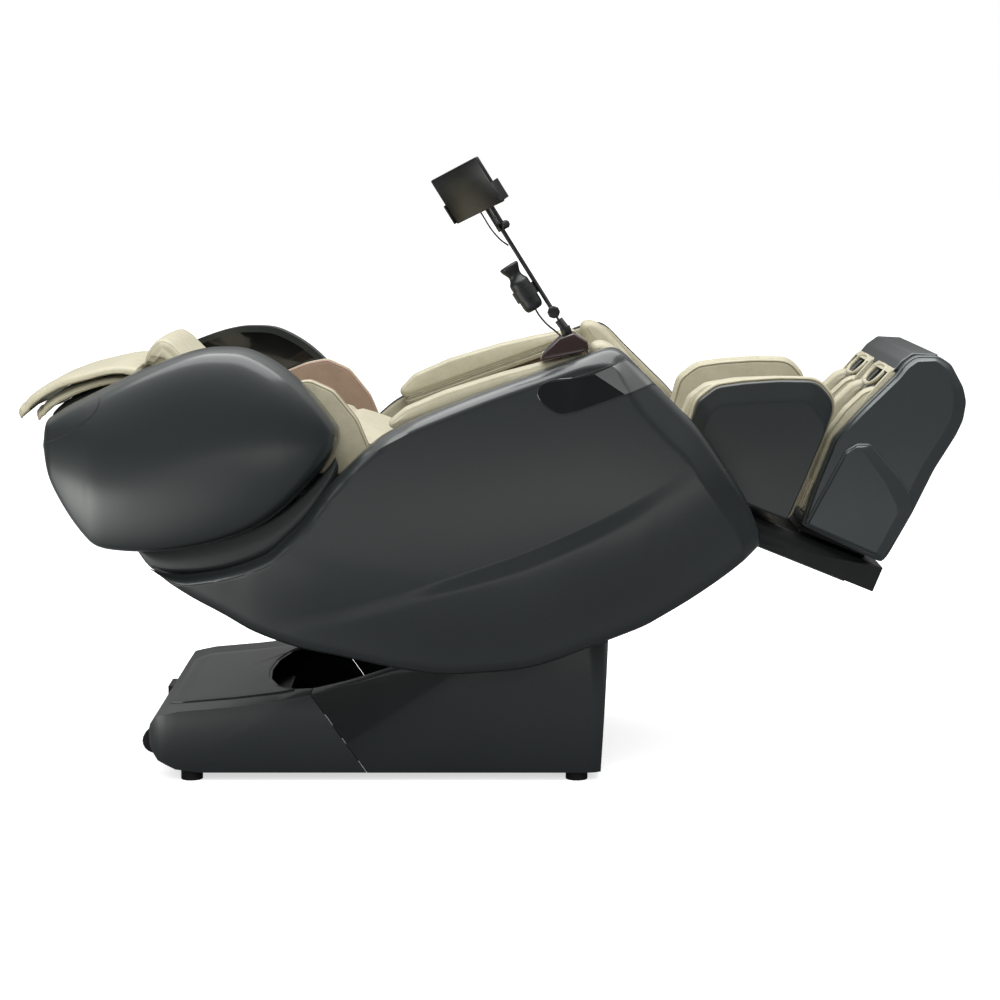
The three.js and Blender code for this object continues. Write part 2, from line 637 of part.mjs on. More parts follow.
function baseCover() {
  const inward = 1 - (2 * BASE_WALL) / (BASE_FRONT - BASE_REAR);
  const whole = common(
    slab(baseProfile, -BASE_HALF_WIDTH, BASE_HALF_WIDTH),
    plate(basePlan, 0, 400),
  );
  const hollow = common(
    slab(grow(baseProfile, [-260, 60], inward), -BASE_HALF_WIDTH + BASE_WALL, BASE_HALF_WIDTH - BASE_WALL),
    plate(grow(basePlan, [-260, 0], inward), 0, 400),
  );
  const lowered = geometryOf(solid(hollow).translate([0, 0, -BASE_WALL]));
  const skirt = box(BASE_REAR + 132, BASE_FRONT - 20, -300, 300, 0, 60);
  const frontGap = box(150, 260, -300, 300, 150, 400);
  return cut(whole, lowered, plate(openingPlan, 120, 400), skirt, frontGap);
}
const seamHalf = 0.8;
const farRear = BASE_REAR - 148;
const rearSide = (offset) => [[farRear, -20], [-255 + offset, -20], [-400 + offset, 188], [-400 + offset, 420], [farRear, 420]];
const frontSide = (offset) => [[400, -20], [-255 + offset, -20], [-400 + offset, 188], [-400 + offset, 420], [400, 420]];
const cover = baseCover();
const wheelSlots = [-1, 1].map((sign) => {
  const y = sign * WHEEL_TRACK;
  return box(BASE_REAR - 40, BASE_REAR + 62, y - 22, y + 22, 0, WHEEL[1] + WHEEL_RADIUS + 7);
});
const inletHole = box(BASE_REAR - 10, BASE_REAR + 60, 30 - SEATED, 110 + SEATED, 82 - SEATED, 124 + SEATED);
add(
  chair,
  "base_rear_cover",
  cut(common(cover, slab(rearSide(-seamHalf), -400, 400)), ...wheelSlots, inletHole),
  GRAPHITE,
);
add(chair, "base_front_cover", common(cover, slab(frontSide(seamHalf), -400, 400)), GRAPHITE);

// Welded base frame, with the slide rails on its cross members and the mains inlet at the back.
const FRAME_Y = 262;
const frameTop = FRAME_BOTTOM + BEAM_HEIGHT;
const feet = { front: BASE_FRONT - 67, rear: BASE_REAR + 94 };
const FOOT_TIE_REACH = FOOT_TRACK + 15;
function baseFrame() {
  const beams = [-1, 1].map((sign) =>
    box(BASE_REAR + 62, BASE_FRONT - 32, sign * FRAME_Y - BEAM_WIDTH / 2, sign * FRAME_Y + BEAM_WIDTH / 2, FRAME_BOTTOM, frameTop),
  );
  const ties = [-420, -100].map((x) => box(x - 12, x + 12, -FRAME_Y, FRAME_Y, FRAME_BOTTOM, frameTop));
  for (const x of Object.values(feet)) {
    ties.push(box(x - 18, x + 18, -FOOT_TIE_REACH, FOOT_TIE_REACH, FRAME_BOTTOM, frameTop));
  }
  const forks = [-1, 1].flatMap((sign) =>
    [-1, 1].map((side) => {
      const y = sign * WHEEL_TRACK + side * (WHEEL_WIDTH / 2 + 5);
      const [x, z] = WHEEL;
      const arm = [[x + 38, FRAME_BOTTOM], [x + 93, FRAME_BOTTOM], [x + 93, 50], [x + 6, z + 10], [x - 10, z], [x - 4, z - 12]];
      return slab(arm, y - 2, y + 2);
    }),
  );
  const rails = [-1, 1].map((sign) => {
    const y = sign * RAIL_TRACK;
    return box(-440, 195, y - RAIL_WIDTH / 2, y + RAIL_WIDTH / 2, frameTop - 0.5, frameTop + RAIL_HEIGHT);
  });
  return cut(join(...beams, ...ties, ...forks, ...rails), barrel(...WHEEL, 5 + RUNNING, -330, 330, 12));
}
add(chair, "base_frame", baseFrame(), STEEL);

for (const [end, x] of Object.entries(feet)) {
  const foot = new THREE.CylinderGeometry(FOOT_RADIUS, FOOT_RADIUS, FOOT_HEIGHT, 16).rotateX(Math.PI / 2);
  addPair(chair, end + "_foot", foot.translate(x, -FOOT_TRACK, FOOT_HEIGHT / 2), RUBBER);
}

// Transport wheels that touch the floor when the chair is tipped back.
function wheel() {
  const tread = barrel(...WHEEL, WHEEL_RADIUS, -WHEEL_TRACK - WHEEL_WIDTH / 2, -WHEEL_TRACK + WHEEL_WIDTH / 2, 20);
  return join(tread, barrel(...WHEEL, 5, -WHEEL_TRACK - 19, -WHEEL_TRACK + 19, 12));
}
addPair(chair, "transport_wheel", wheel(), RUBBER);

// The carriage runs on the rails and holds the seat's tilt shaft between its cheeks.
const carriageFloor = frameTop + RAIL_HEIGHT + 2 * SEATED + 0.7;
function seatCarriage() {
  const bed = box(-300, 130, -RAIL_TRACK - 25, RAIL_TRACK + 25, carriageFloor, carriageFloor + 6);
  const cheeks = [-1, 1].map((sign) =>
    join(
      slab([[-150, carriageFloor + 3], [30, carriageFloor + 3], [TILT[0] + 22, TILT[1]], [TILT[0] - 22, TILT[1]]],
        sign * 150 - 6, sign * 150 + 6),
      barrel(TILT[0], TILT[1], 24, sign * 150 - 6, sign * 150 + 6),
    ),
  );
  const shaft = barrel(TILT[0], TILT[1], PIN_RADIUS, -190, 190);
  return join(bed, ...cheeks, shaft);
}
add(chair, "seat_carriage", seatCarriage(), STEEL);

// Control box inside the rear of the base.
add(chair, "control_box", pad(BASE_REAR + 112, BASE_REAR + 282, -130, 130, frameTop + SEATED, 128, 6), BLACK_PLASTIC);

// Mains inlet in the rear wall, with a pin recess and a rocker switch beside it.
const INLET = { y0: 30, y1: 110, z0: 82, z1: 124, front: BASE_REAR - 2, depth: 24 };
const SWITCH = { y: 93, z: (INLET.z0 + INLET.z1) / 2, half: [7, 11], travel: 6 };
function powerInlet() {
  const body = box(INLET.front, INLET.front + INLET.depth, INLET.y0, INLET.y1, INLET.z0, INLET.z1);
  const recess = box(INLET.front - 1, INLET.front + 18, 38, 70, 90, 116);
  const pocket = box(INLET.front - 1, INLET.front + 12, SWITCH.y - 8, SWITCH.y + 8, SWITCH.z - 13, SWITCH.z + 13);
  return cut(body, recess, pocket);
}
add(chair, "power_inlet", powerInlet(), BLACK_PLASTIC);
const rockerOutline = [[-2, -11], [0.5, 0], [-2, 11], [6, 9], [6, -9]].map(([x, z]) => [INLET.front + x, SWITCH.z + z]);
add(chair, "power_switch", slab(rockerOutline, SWITCH.y - SWITCH.half[0], SWITCH.y + SWITCH.half[0]), BLACK_PLASTIC);

// ---------------------------------------------------------------- tablet arm on the right armrest
const dockOutline = [
  [300, 210 + SEATED], [388, 196 + SEATED], [402, 198], [404, 214], [384, 240], [352, 240], [308, 220],
];
add(seat, "arm_dock", slab(dockOutline, -374, -306), SMOKED);

// Points of the arm as [x, y, z], and a round bar between two points.
const seatUp = [-Math.sin(-SEAT_ANGLE), 0, Math.cos(SEAT_ANGLE)];
const ARM_ROOT = [140.6, ARM_Y, 952.4];
const ARM_ELBOW = [112, ARM_Y, 999];
const ARM_HEAD = [2, ARM_Y, 1174];
const along = (from, direction, distance) => from.map((v, k) => v + direction[k] * distance);
const towards = (from, to) => {
  const d = to.map((v, k) => v - from[k]);
  return d.map((v) => v / Math.hypot(...d));
};
const upright = new THREE.Vector3(0, 1, 0);
function bar(from, to, radius, sides = 12) {
  const turn = new THREE.Quaternion().setFromUnitVectors(upright, new THREE.Vector3(...towards(from, to)));
  const length = Math.hypot(...to.map((v, k) => v - from[k]));
  const middle = from.map((v, k) => (v + to[k]) / 2);
  return new THREE.CylinderGeometry(radius, radius, length, sides).applyQuaternion(turn).translate(...middle);
}

// The post swivels on the dock and ends in a fork that holds the rod's lower eye.
const FORK_OFFSET = 9;
const HINGE_PIN = 3;
const EYE_RADIUS = 8;
const EYE_HALF = 5;
function armPost() {
  const collar = along(ARM_ROOT, seatUp, 16);
  const neck = along(ARM_ELBOW, towards(ARM_ELBOW, ARM_ROOT), 20);
  const parts = [bar(ARM_ROOT, collar, 11, 16), bar(along(ARM_ROOT, seatUp, 12), neck, 9)];
  for (const sign of [-1, 1]) {
    const y = sign * FORK_OFFSET;
    parts.push(barrel(ARM_ELBOW[0], ARM_ELBOW[2], 9, ARM_Y + y - 2.5, ARM_Y + y + 2.5, 14));
    parts.push(bar([neck[0], ARM_Y + y * 0.8, neck[2]], [ARM_ELBOW[0], ARM_Y + y, ARM_ELBOW[2]], 2.4, 8));
  }
  parts.push(barrel(ARM_ELBOW[0], ARM_ELBOW[2], HINGE_PIN, ARM_Y - FORK_OFFSET, ARM_Y + FORK_OFFSET, 10));
  return join(...parts);
}
add(chair, "arm_post", armPost(), BLACK_PLASTIC);

// The handset stands beside the rod in a ring; its foot and axis are tied to the rod's.
const rodUp = towards(ARM_ELBOW, ARM_HEAD);
const rodSide = [-rodUp[2], 0, rodUp[0]];
const RING_WALL = 3;
const RING_INNER = HANDSET_RADIUS + 1;
const HANDSET_OFFSET = RING_INNER + RING_WALL + ROD_RADIUS - 0.5;
const handsetFoot = along(along(ARM_ELBOW, rodUp, 24), rodSide, HANDSET_OFFSET);
function turned(profile, sides, foot, axis) {
  const turn = new THREE.Quaternion().setFromUnitVectors(upright, new THREE.Vector3(...axis));
  const points = profile.map(([r, h]) => new THREE.Vector2(r, h));
  return new THREE.LatheGeometry(points, sides).applyQuaternion(turn).translate(...foot);
}
const ringTop = 52;
const ringBottom = 28;
const ringProfile = [
  [RING_INNER, ringBottom], [RING_INNER + RING_WALL, ringBottom], [RING_INNER + RING_WALL, ringTop],
  [RING_INNER, ringTop], [RING_INNER, ringBottom],
];
const across = towards([0, 0, 0], [0.511, -0.819, 0.266]); // along the tablet's long side
function eye(centre, axis, radius, half) {
  return bar(along(centre, axis, -half), along(centre, axis, half), radius, 14);
}
function armRod() {
  const whole = join(
    bar(ARM_ELBOW, ARM_HEAD, ROD_RADIUS),
    eye(ARM_ELBOW, [0, 1, 0], EYE_RADIUS, EYE_HALF),
    eye(ARM_HEAD, across, EYE_RADIUS, EYE_HALF),
    turned(ringProfile, 20, handsetFoot, rodUp),
  );
  const bores = [eye(ARM_ELBOW, [0, 1, 0], HINGE_PIN + RUNNING, 20), eye(ARM_HEAD, across, HINGE_PIN + RUNNING, 20)];
  return cut(whole, ...bores);
}
add(chair, "arm_rod", armRod(), BLACK_PLASTIC);
const handsetProfile = [
  [0, 0], [13, 0], [19, 5], [HANDSET_RADIUS, 14], [HANDSET_RADIUS, 66], [15, 78], [13.5, 86], [20, 100],
  [18, HANDSET_LENGTH], [0, HANDSET_LENGTH],
];
add(chair, "handset", turned(handsetProfile, 16, handsetFoot, rodUp), BLACK_PLASTIC);

// The tablet and its holder in their own frame: x along the screen, y out of its back and z towards its lower
// edge. The holder's ears reach down to the rod's upper eye.
const down = towards([0, 0, 0], [0.528, 0.054, -0.849]);
const behind = new THREE.Vector3(...across).cross(new THREE.Vector3(...down)).normalize();
const HEAD_IN_TABLET = [22, 8, 98];
const tablet = new THREE.Group();
const tabletAxes = new THREE.Matrix4().makeBasis(new THREE.Vector3(...across), behind, new THREE.Vector3(...down));
const headOffset = new THREE.Vector3(...HEAD_IN_TABLET).applyMatrix4(tabletAxes);
const TABLET_CENTRE = ARM_HEAD.map((v, k) => v - headOffset.getComponent(k));
tablet.applyMatrix4(tabletAxes.setPosition(...TABLET_CENTRE));
chair.add(tablet);
const [tabletWidth, tabletHeight, tabletDepth] = TABLET;
add(
  tablet,
  "tablet",
  pad(-tabletWidth / 2, tabletWidth / 2, -tabletDepth / 2, tabletDepth / 2, -tabletHeight / 2, tabletHeight / 2, 3),
  BLACK_GLOSS,
);
function tabletHolder() {
  const rear = tabletDepth / 2 + SEATED;
  const [headX, headY, headZ] = HEAD_IN_TABLET;
  const parts = [box(-tabletWidth / 2 - 5, tabletWidth / 2 + 5, rear, rear + 8, 8, 36)];
  for (const sign of [-1, 1]) {
    const [a, b] = [tabletWidth / 2 + SEATED, tabletWidth / 2 + 5].map((v) => sign * v).sort((p, q) => p - q);
    parts.push(box(a, b, -tabletDepth / 2 - 2, rear + 8, 6, 50));
    parts.push(box(headX + sign * 9 - 2.5, headX + sign * 9 + 2.5, rear, rear + 9, 30, headZ + 9));
  }
  const pin = new THREE.CylinderGeometry(HINGE_PIN, HINGE_PIN, 18, 10).rotateZ(Math.PI / 2);
  parts.push(pin.translate(headX, headY, headZ));
  return join(...parts);
}
add(tablet, "tablet_holder", tabletHolder(), BLACK_PLASTIC);


// A round lead through a list of points.
function lead(points, radius, pieces) {
  const path = new THREE.CatmullRomCurve3(points.map((p) => new THREE.Vector3(...p)));
  const circle = Array.from({ length: 8 }, (_, k) => {
    const a = (2 * Math.PI * k) / 8;
    return new THREE.Vector2(radius * Math.cos(a), radius * Math.sin(a));
  });
  return new THREE.ExtrudeGeometry(new THREE.Shape(circle), { steps: pieces, extrudePath: path, bevelEnabled: false });
}
const tabletSocket = along(TABLET_CENTRE, down, tabletHeight / 2 + SEATED);
add(
  chair,
  "tablet_lead",
  lead([tabletSocket, along(tabletSocket, down, 12), [-16, ARM_Y - 18, 1168], [2, ARM_Y - 20, 1148],
    [18, ARM_Y - 8, 1136]], 1.8, 12),
  BLACK_PLASTIC,
);
const handsetSocket = along(handsetFoot, rodUp, -SEATED);
add(
  chair,
  "handset_lead",
  lead([handsetSocket, along(handsetFoot, rodUp, -16), [98, ARM_Y - 16, 974], [118, ARM_Y - 18, 958], [126, ARM_Y - 20, 950.5]], 2, 12),
  BLACK_PLASTIC,
);

// The finished part, moved so that its origin is under the middle of its bounding box.
const part = new THREE.Group();
part.add(chair);
const extent = new THREE.Box3().setFromObject(chair, true);
chair.position.set(-(extent.min.x + extent.max.x) / 2, 0, -extent.min.z);

export default part;
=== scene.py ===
"""A reclining massage chair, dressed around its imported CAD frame."""
import json

import bmesh
import bpy
import numpy as np
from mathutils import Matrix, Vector


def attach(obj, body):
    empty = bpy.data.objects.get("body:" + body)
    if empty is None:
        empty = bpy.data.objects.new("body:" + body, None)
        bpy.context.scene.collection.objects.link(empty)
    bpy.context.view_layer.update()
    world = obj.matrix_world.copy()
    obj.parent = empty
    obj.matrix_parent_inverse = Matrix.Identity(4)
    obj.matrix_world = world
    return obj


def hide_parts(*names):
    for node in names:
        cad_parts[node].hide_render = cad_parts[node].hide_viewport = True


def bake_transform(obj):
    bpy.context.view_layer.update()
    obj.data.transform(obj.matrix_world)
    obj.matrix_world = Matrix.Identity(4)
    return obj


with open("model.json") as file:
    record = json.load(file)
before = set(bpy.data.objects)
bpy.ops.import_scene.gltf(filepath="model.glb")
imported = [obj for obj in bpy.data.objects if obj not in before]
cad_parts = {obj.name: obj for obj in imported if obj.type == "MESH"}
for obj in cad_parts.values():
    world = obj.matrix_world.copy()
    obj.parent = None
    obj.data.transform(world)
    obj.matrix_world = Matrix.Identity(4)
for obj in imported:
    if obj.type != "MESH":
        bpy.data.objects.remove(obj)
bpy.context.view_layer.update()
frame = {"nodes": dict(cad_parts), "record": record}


# ---------------------------------------------------------------- camera, floor and light
# A studio: a pale floor that runs out of sight, a broad overhead softbox, three more softboxes that light the
# leather but don't show in paint, and a white sweep behind the chair. The camera stands level with the tablet
# and looks slightly down at the sitter's right side.
MM = 0.001
CAMERA_PLACE = (1.1, -5336.7, 1320.1)
CAMERA_PITCH = 8.148
CAMERA_LENS = 86.724

joints = {joint["name"]: joint for joint in frame["record"]["behaviour"]["joints"]}
HIP = np.array(joints["back_recline"]["pos_m"])
SHIFT = HIP[0] + 125 * MM


def chair_point(x, y, z):
    """A point of the chair's drawing, in millimetres with the hip pivot at x = -125, as a point in metres."""
    return np.stack(
        np.broadcast_arrays(np.asarray(x) * MM + SHIFT, np.asarray(y) * MM, np.asarray(z) * MM), -1
    )


camera_data = bpy.data.cameras.new("studio_camera")
camera_data.sensor_width = 36.0
camera_data.lens = CAMERA_LENS
camera_data.clip_end = 100.0
camera = bpy.data.objects.new("studio_camera", camera_data)
bpy.context.scene.collection.objects.link(camera)
camera.location = Vector(chair_point(*CAMERA_PLACE))
camera.rotation_euler = (np.radians(90 - CAMERA_PITCH), 0, 0)
bpy.context.scene.camera = camera
bpy.context.scene.view_settings.view_transform = "Standard"


def linear(hex_colour):
    """The linear RGBA of an sRGB hex colour: c / 12.92 below 0.04045, else ((c + 0.055) / 1.055) ** 2.4."""
    c = np.array([int(hex_colour[k : k + 2], 16) for k in (1, 3, 5)]) / 255
    return (*np.where(c <= 0.04045, c / 12.92, ((c + 0.055) / 1.055) ** 2.4).tolist(), 1.0)


def add_node(tree, kind, sockets=None, **settings):
    """Add one shader node. Each entry of sockets is a value, or the output socket that feeds it."""
    made = tree.nodes.new(kind)
    for key, value in settings.items():
        setattr(made, key, value)
    for key, value in (sockets or {}).items():
        if isinstance(value, bpy.types.NodeSocket):
            tree.links.new(value, made.inputs[key])
        else:
            made.inputs[key].default_value = value
    return made


def finish(name, **sockets):
    """A material with one Principled shader, whose uniform values are set on its own sockets."""
    made = bpy.data.materials.new(name)
    made.use_nodes = True
    shader = made.node_tree.nodes["Principled BSDF"]
    for key, value in sockets.items():
        shader.inputs[key.replace("_", " ")].default_value = value
    return made, made.node_tree, shader


world = bpy.data.worlds.new("studio")
world.use_nodes = True
bpy.context.scene.world = world
sky = world.node_tree
sky.nodes.clear()
direction = add_node(sky, "ShaderNodeTexCoord")
split = add_node(sky, "ShaderNodeSeparateXYZ", {0: direction.outputs["Generated"]})
sweep = add_node(
    sky, "ShaderNodeMapRange",
    {"Value": split.outputs["Z"], "From Min": 0.05, "From Max": 0.95, "To Min": 0.13, "To Max": 1.15},
    interpolation_type="SMOOTHSTEP",
)
room = add_node(sky, "ShaderNodeBackground", {"Color": (1, 1, 1, 1), "Strength": sweep.outputs[0]})
backdrop = add_node(sky, "ShaderNodeBackground", {"Color": (1, 1, 1, 1), "Strength": 1.0})
seen = add_node(sky, "ShaderNodeLightPath")
chosen = add_node(
    sky, "ShaderNodeMixShader", {0: seen.outputs["Is Camera Ray"], 1: room.outputs[0], 2: backdrop.outputs[0]}
)
add_node(sky, "ShaderNodeOutputWorld", {"Surface": chosen.outputs[0]})

floor_mesh = bpy.data.meshes.new("studio_floor")
floor_mesh.from_pydata([(-60, -60, 0), (60, -60, 0), (60, 60, 0), (-60, 60, 0)], [], [(0, 1, 2, 3)])
floor = bpy.data.objects.new("studio_floor", floor_mesh)
bpy.context.scene.collection.objects.link(floor)
floor_paint, floor_tree, floor_shader = finish(
    "studio_floor_paint", Base_Color=(0.8, 0.8, 0.8, 1), Roughness=0.6
)
floor_shader.inputs["Specular IOR Level"].default_value = 0.0
floor_seen = add_node(floor_tree, "ShaderNodeLightPath")
floor_dim = add_node(floor_tree, "ShaderNodeBsdfDiffuse", {"Color": (0.16, 0.165, 0.17, 1)})
floor_glow = add_node(floor_tree, "ShaderNodeEmission", {"Color": (1, 1, 1, 1), "Strength": 0.62})
floor_lit = add_node(
    floor_tree, "ShaderNodeAddShader", {0: floor_glow.outputs[0], 1: floor_shader.outputs[0]}
)


def bounce(x, y, reach, strength):
    """What the paint mirrors of a white card on the floor: full at the card's middle, fading to nothing at
    reach."""
    place = add_node(floor_tree, "ShaderNodeTexCoord")
    away = add_node(
        floor_tree, "ShaderNodeVectorMath", {0: place.outputs["Object"], 1: (x, y, 0)}, operation="DISTANCE"
    )
    fade = add_node(
        floor_tree, "ShaderNodeMapRange",
        {"Value": away.outputs["Value"], "From Min": reach, "From Max": 0.0, "To Max": strength},
        interpolation_type="SMOOTHSTEP",
    )
    return add_node(floor_tree, "ShaderNodeEmission", {"Color": (1, 1, 0.96, 1), "Strength": fade.outputs[0]})


rear_card, front_card = bounce(-2.3, -1.7, 2.0, 5.0), bounce(0.5, -4.2, 2.6, 1.1)
cards = add_node(floor_tree, "ShaderNodeAddShader", {0: rear_card.outputs[0], 1: front_card.outputs[0]})
floor_mirrored = add_node(floor_tree, "ShaderNodeAddShader", {0: floor_dim.outputs[0], 1: cards.outputs[0]})
floor_mix = add_node(
    floor_tree, "ShaderNodeMixShader",
    {0: floor_seen.outputs["Is Camera Ray"], 1: floor_mirrored.outputs[0], 2: floor_lit.outputs[0]},
)
floor_tree.links.new(floor_mix.outputs[0], floor_tree.nodes["Material Output"].inputs["Surface"])
floor_mesh.materials.append(floor_paint)


def softbox(name, place, target, size, power, mirrored=True):
    """A square area light at place that faces target, in the chair's millimetres. Paint shows it only if
    mirrored."""
    data = bpy.data.lights.new(name, "AREA")
    data.size = size * MM
    data.energy = power
    light = bpy.data.objects.new(name, data)
    bpy.context.scene.collection.objects.link(light)
    light.visible_glossy = mirrored
    light.location = Vector(chair_point(*place))
    light.rotation_euler = (Vector(chair_point(*target)) - light.location).to_track_quat("-Z", "Y").to_euler()


softbox("overhead_softbox", (-200, -300, 3600), (-100, 0, 500), 4200, 190)
softbox("rear_softbox", (-3400, -1700, 700), (-600, -400, 600), 2600, 30, mirrored=False)
softbox("front_softbox", (2600, -3600, 2600), (400, -400, 700), 2600, 40, mirrored=False)
softbox("camera_softbox", (-600, -5200, 2600), (-100, -400, 600), 2200, 50, mirrored=False)


# ---------------------------------------------------------------- leads
# Two short leads of soft black PVC: one from the tablet's edge and one from the handset's
# foot, both into the tablet arm's hinge covers. They hang a little slack.
def curve(points, count):
    """A Catmull-Rom curve through the points, as count points evenly spaced along its length."""
    p = np.asarray(points, float)
    p = np.concatenate([2 * p[:1] - p[1:2], p, 2 * p[-1:] - p[-2:-1]])
    t = np.linspace(0, 1, 24, endpoint=False)[None, :, None]
    a, b, c, d = (p[k : len(p) - 3 + k, None, :] for k in range(4))
    dense = 0.5 * (2 * b + (c - a) * t + (2 * a - 5 * b + 4 * c - d) * t**2 + (3 * b - a - 3 * c + d) * t**3)
    dense = np.concatenate([dense.reshape(-1, p.shape[1]), p[-2:-1]])
    return evenly(dense, count)


def evenly(line, count, closed=False):
    """Count points evenly spaced along a line of points, or round a closed ring of them."""
    if closed:
        line = np.concatenate([line, line[:1]])
    length = np.concatenate([[0], np.cumsum(np.linalg.norm(np.diff(line, axis=0), axis=1))])
    wanted = np.linspace(0, length[-1], count, endpoint=not closed)
    return np.stack([np.interp(wanted, length, line[:, k]) for k in range(line.shape[1])], 1)


def unit(vectors):
    """Vectors scaled to length one."""
    return vectors / np.linalg.norm(vectors, axis=-1, keepdims=True)


def build(name, vertices, faces, material, sharp=None):
    """An object at the origin from vertices and faces, merged, facing outwards and smooth below an angle."""
    mesh = bpy.data.meshes.new(name)
    mesh.from_pydata(np.asarray(vertices).reshape(-1, 3).tolist(), [], faces)
    work = bmesh.new()
    work.from_mesh(mesh)
    bmesh.ops.remove_doubles(work, verts=work.verts, dist=2e-5)
    bmesh.ops.dissolve_degenerate(work, edges=work.edges, dist=1e-5)
    bmesh.ops.recalc_face_normals(work, faces=work.faces)
    work.to_mesh(mesh)
    work.free()
    mesh.shade_smooth()
    if sharp:
        mesh.set_sharp_from_angle(angle=np.radians(sharp))
    mesh.materials.append(material)
    made = bpy.data.objects.new(name, mesh)
    bpy.context.scene.collection.objects.link(made)
    return made


def lattice(rows, columns, wrap=False):
    """The quads between neighbouring rings of points, and between the last ring and the first if wrap."""
    r = np.arange(rows if wrap else rows - 1)[:, None]
    c = np.arange(columns)[None, :]
    r1, c1 = (r + 1) % rows, (c + 1) % columns
    quads = np.stack(
        np.broadcast_arrays(r * columns + c, r1 * columns + c, r1 * columns + c1, r * columns + c1), -1
    )
    return quads.reshape(-1, 4).tolist()


def loft(name, rings, material, sharp=None, wrap=False):
    """A closed body through closed rings of points. Each end is a fan to its ring's middle, or the last ring
    joins the first."""
    rings = np.asarray(rings)
    rows, columns = rings.shape[:2]
    faces = lattice(rows, columns, wrap)
    c = np.arange(columns)
    vertices = rings.reshape(-1, 3)
    if not wrap:
        vertices = np.concatenate([vertices, rings[[0, -1]].mean(1)])
        for ring, centre in ((0, len(vertices) - 2), (rows - 1, len(vertices) - 1)):
            here = ring * columns + c
            ahead = ring * columns + (c + 1) % columns
            faces += np.stack([here, ahead, np.full(columns, centre)], -1).tolist()
    return build(name, vertices, faces, material, sharp)


def tube(name, path, radius, material, sides=10, closed=False):
    """A round bar along a path in metres. Its section turns with the path about the direction the path is
    flattest in, and radius may be one value for each point."""
    path = np.asarray(path, float)
    ahead = np.roll(path, -1, 0) - np.roll(path, 1, 0)
    if not closed:
        ahead[0], ahead[-1] = path[1] - path[0], path[-1] - path[-2]
    flattest = np.linalg.svd(path - path.mean(0), full_matrices=True)[2][-1]
    side = unit(np.cross(unit(ahead), flattest))
    up = np.cross(side, unit(ahead))
    angle = np.linspace(0, 2 * np.pi, sides, endpoint=False)[None, :, None]
    size = np.broadcast_to(np.asarray(radius, float), len(path))[:, None, None]
    rings = path[:, None] + size * (np.cos(angle) * side[:, None] + np.sin(angle) * up[:, None])
    return loft(name, rings, material, wrap=closed)


def pattern(tree, kind, scale_mm, **sockets):
    """A noise, Voronoi or wave texture on the piece's own coordinates, whose features are about scale_mm
    across."""
    place = add_node(tree, "ShaderNodeTexCoord")
    return add_node(tree, kind, {"Vector": place.outputs["Object"], "Scale": 1000 / scale_mm, **sockets})


def roughened(tree, shader, source, low, high, **span):
    """Roughness that goes from low to high with a texture's output."""
    rough = add_node(tree, "ShaderNodeMapRange", {"Value": source, "To Min": low, "To Max": high, **span})
    tree.links.new(rough.outputs[0], shader.inputs["Roughness"])


def bumped(tree, shader, source, strength, distance, socket="Normal"):
    """Relief that follows a texture's output, distance metres high at full strength."""
    bump = add_node(tree, "ShaderNodeBump", {"Height": source, "Strength": strength, "Distance": distance})
    tree.links.new(bump.outputs[0], shader.inputs[socket])
    return bump


def two_tone(tree, shader, share, first, second):
    """A base colour between two sRGB hex colours, by the share that an output gives."""
    colour = add_node(
        tree, "ShaderNodeMix", {"Factor": share, "A": linear(first), "B": linear(second)}, data_type="RGBA"
    )
    tree.links.new(colour.outputs["Result"], shader.inputs["Base Color"])


def moulded_black(name, colour, roughness):
    """Black moulded plastic: a fine spark-eroded grain drawn at 0.9 mm, and roughness that varies with
    handling."""
    made, tree, shader = finish(name, Base_Color=linear(colour))
    wear = pattern(tree, "ShaderNodeTexNoise", 45, Detail=3.0)
    roughened(tree, shader, wear.outputs["Fac"], roughness - 0.08, roughness + 0.08)
    grain = pattern(tree, "ShaderNodeTexNoise", 0.9, Detail=2.0)
    bumped(tree, shader, grain.outputs["Fac"], 0.25, 0.0002)
    return made


SATIN_BLACK = moulded_black("satin_black_abs", "#141516", 0.36)
SOFT_PVC = moulded_black("soft_black_pvc", "#101010", 0.5)
ARM_Y = -338
ARM_ELBOW = np.array([112.0, ARM_Y, 999.0])
ARM_HEAD = np.array([2.0, ARM_Y, 1174.0])
ROD_UP = unit(ARM_HEAD - ARM_ELBOW)
ROD_SIDE = np.array([-ROD_UP[2], 0, ROD_UP[0]])
ACROSS = unit(np.array([0.511, -0.819, 0.266]))
DOWN = unit(np.array([0.528, 0.054, -0.849]))
BEHIND = unit(np.cross(ACROSS, DOWN))
TABLET_CENTRE = ARM_HEAD - 22 * ACROSS - 8 * BEHIND - 98 * DOWN
HANDSET_FOOT = ARM_ELBOW + 24 * ROD_UP + 29 * ROD_SIDE
tablet_socket = TABLET_CENTRE + 53.3 * DOWN
tablet_route = [
    tablet_socket, tablet_socket + 12 * DOWN, (-16, -356, 1168), (2, -358, 1148), (18, -346, 1136)
]
handset_socket = HANDSET_FOOT - 0.3 * ROD_UP
handset_route = [
    handset_socket, HANDSET_FOOT - 16 * ROD_UP, (98, -354, 974), (118, -356, 958), (126, -358, 950.5)
]
for lead_name, route, radius, body in (
    ("tablet_cable", tablet_route, 1.8, "tablet"), ("handset_cable", handset_route, 2.0, "handset"),
):
    line = curve(route, 36)
    path = chair_point(*line.T)
    lead = tube(lead_name, path, radius * MM, SOFT_PVC, sides=12)
    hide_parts(body + "_lead")
    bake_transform(lead)


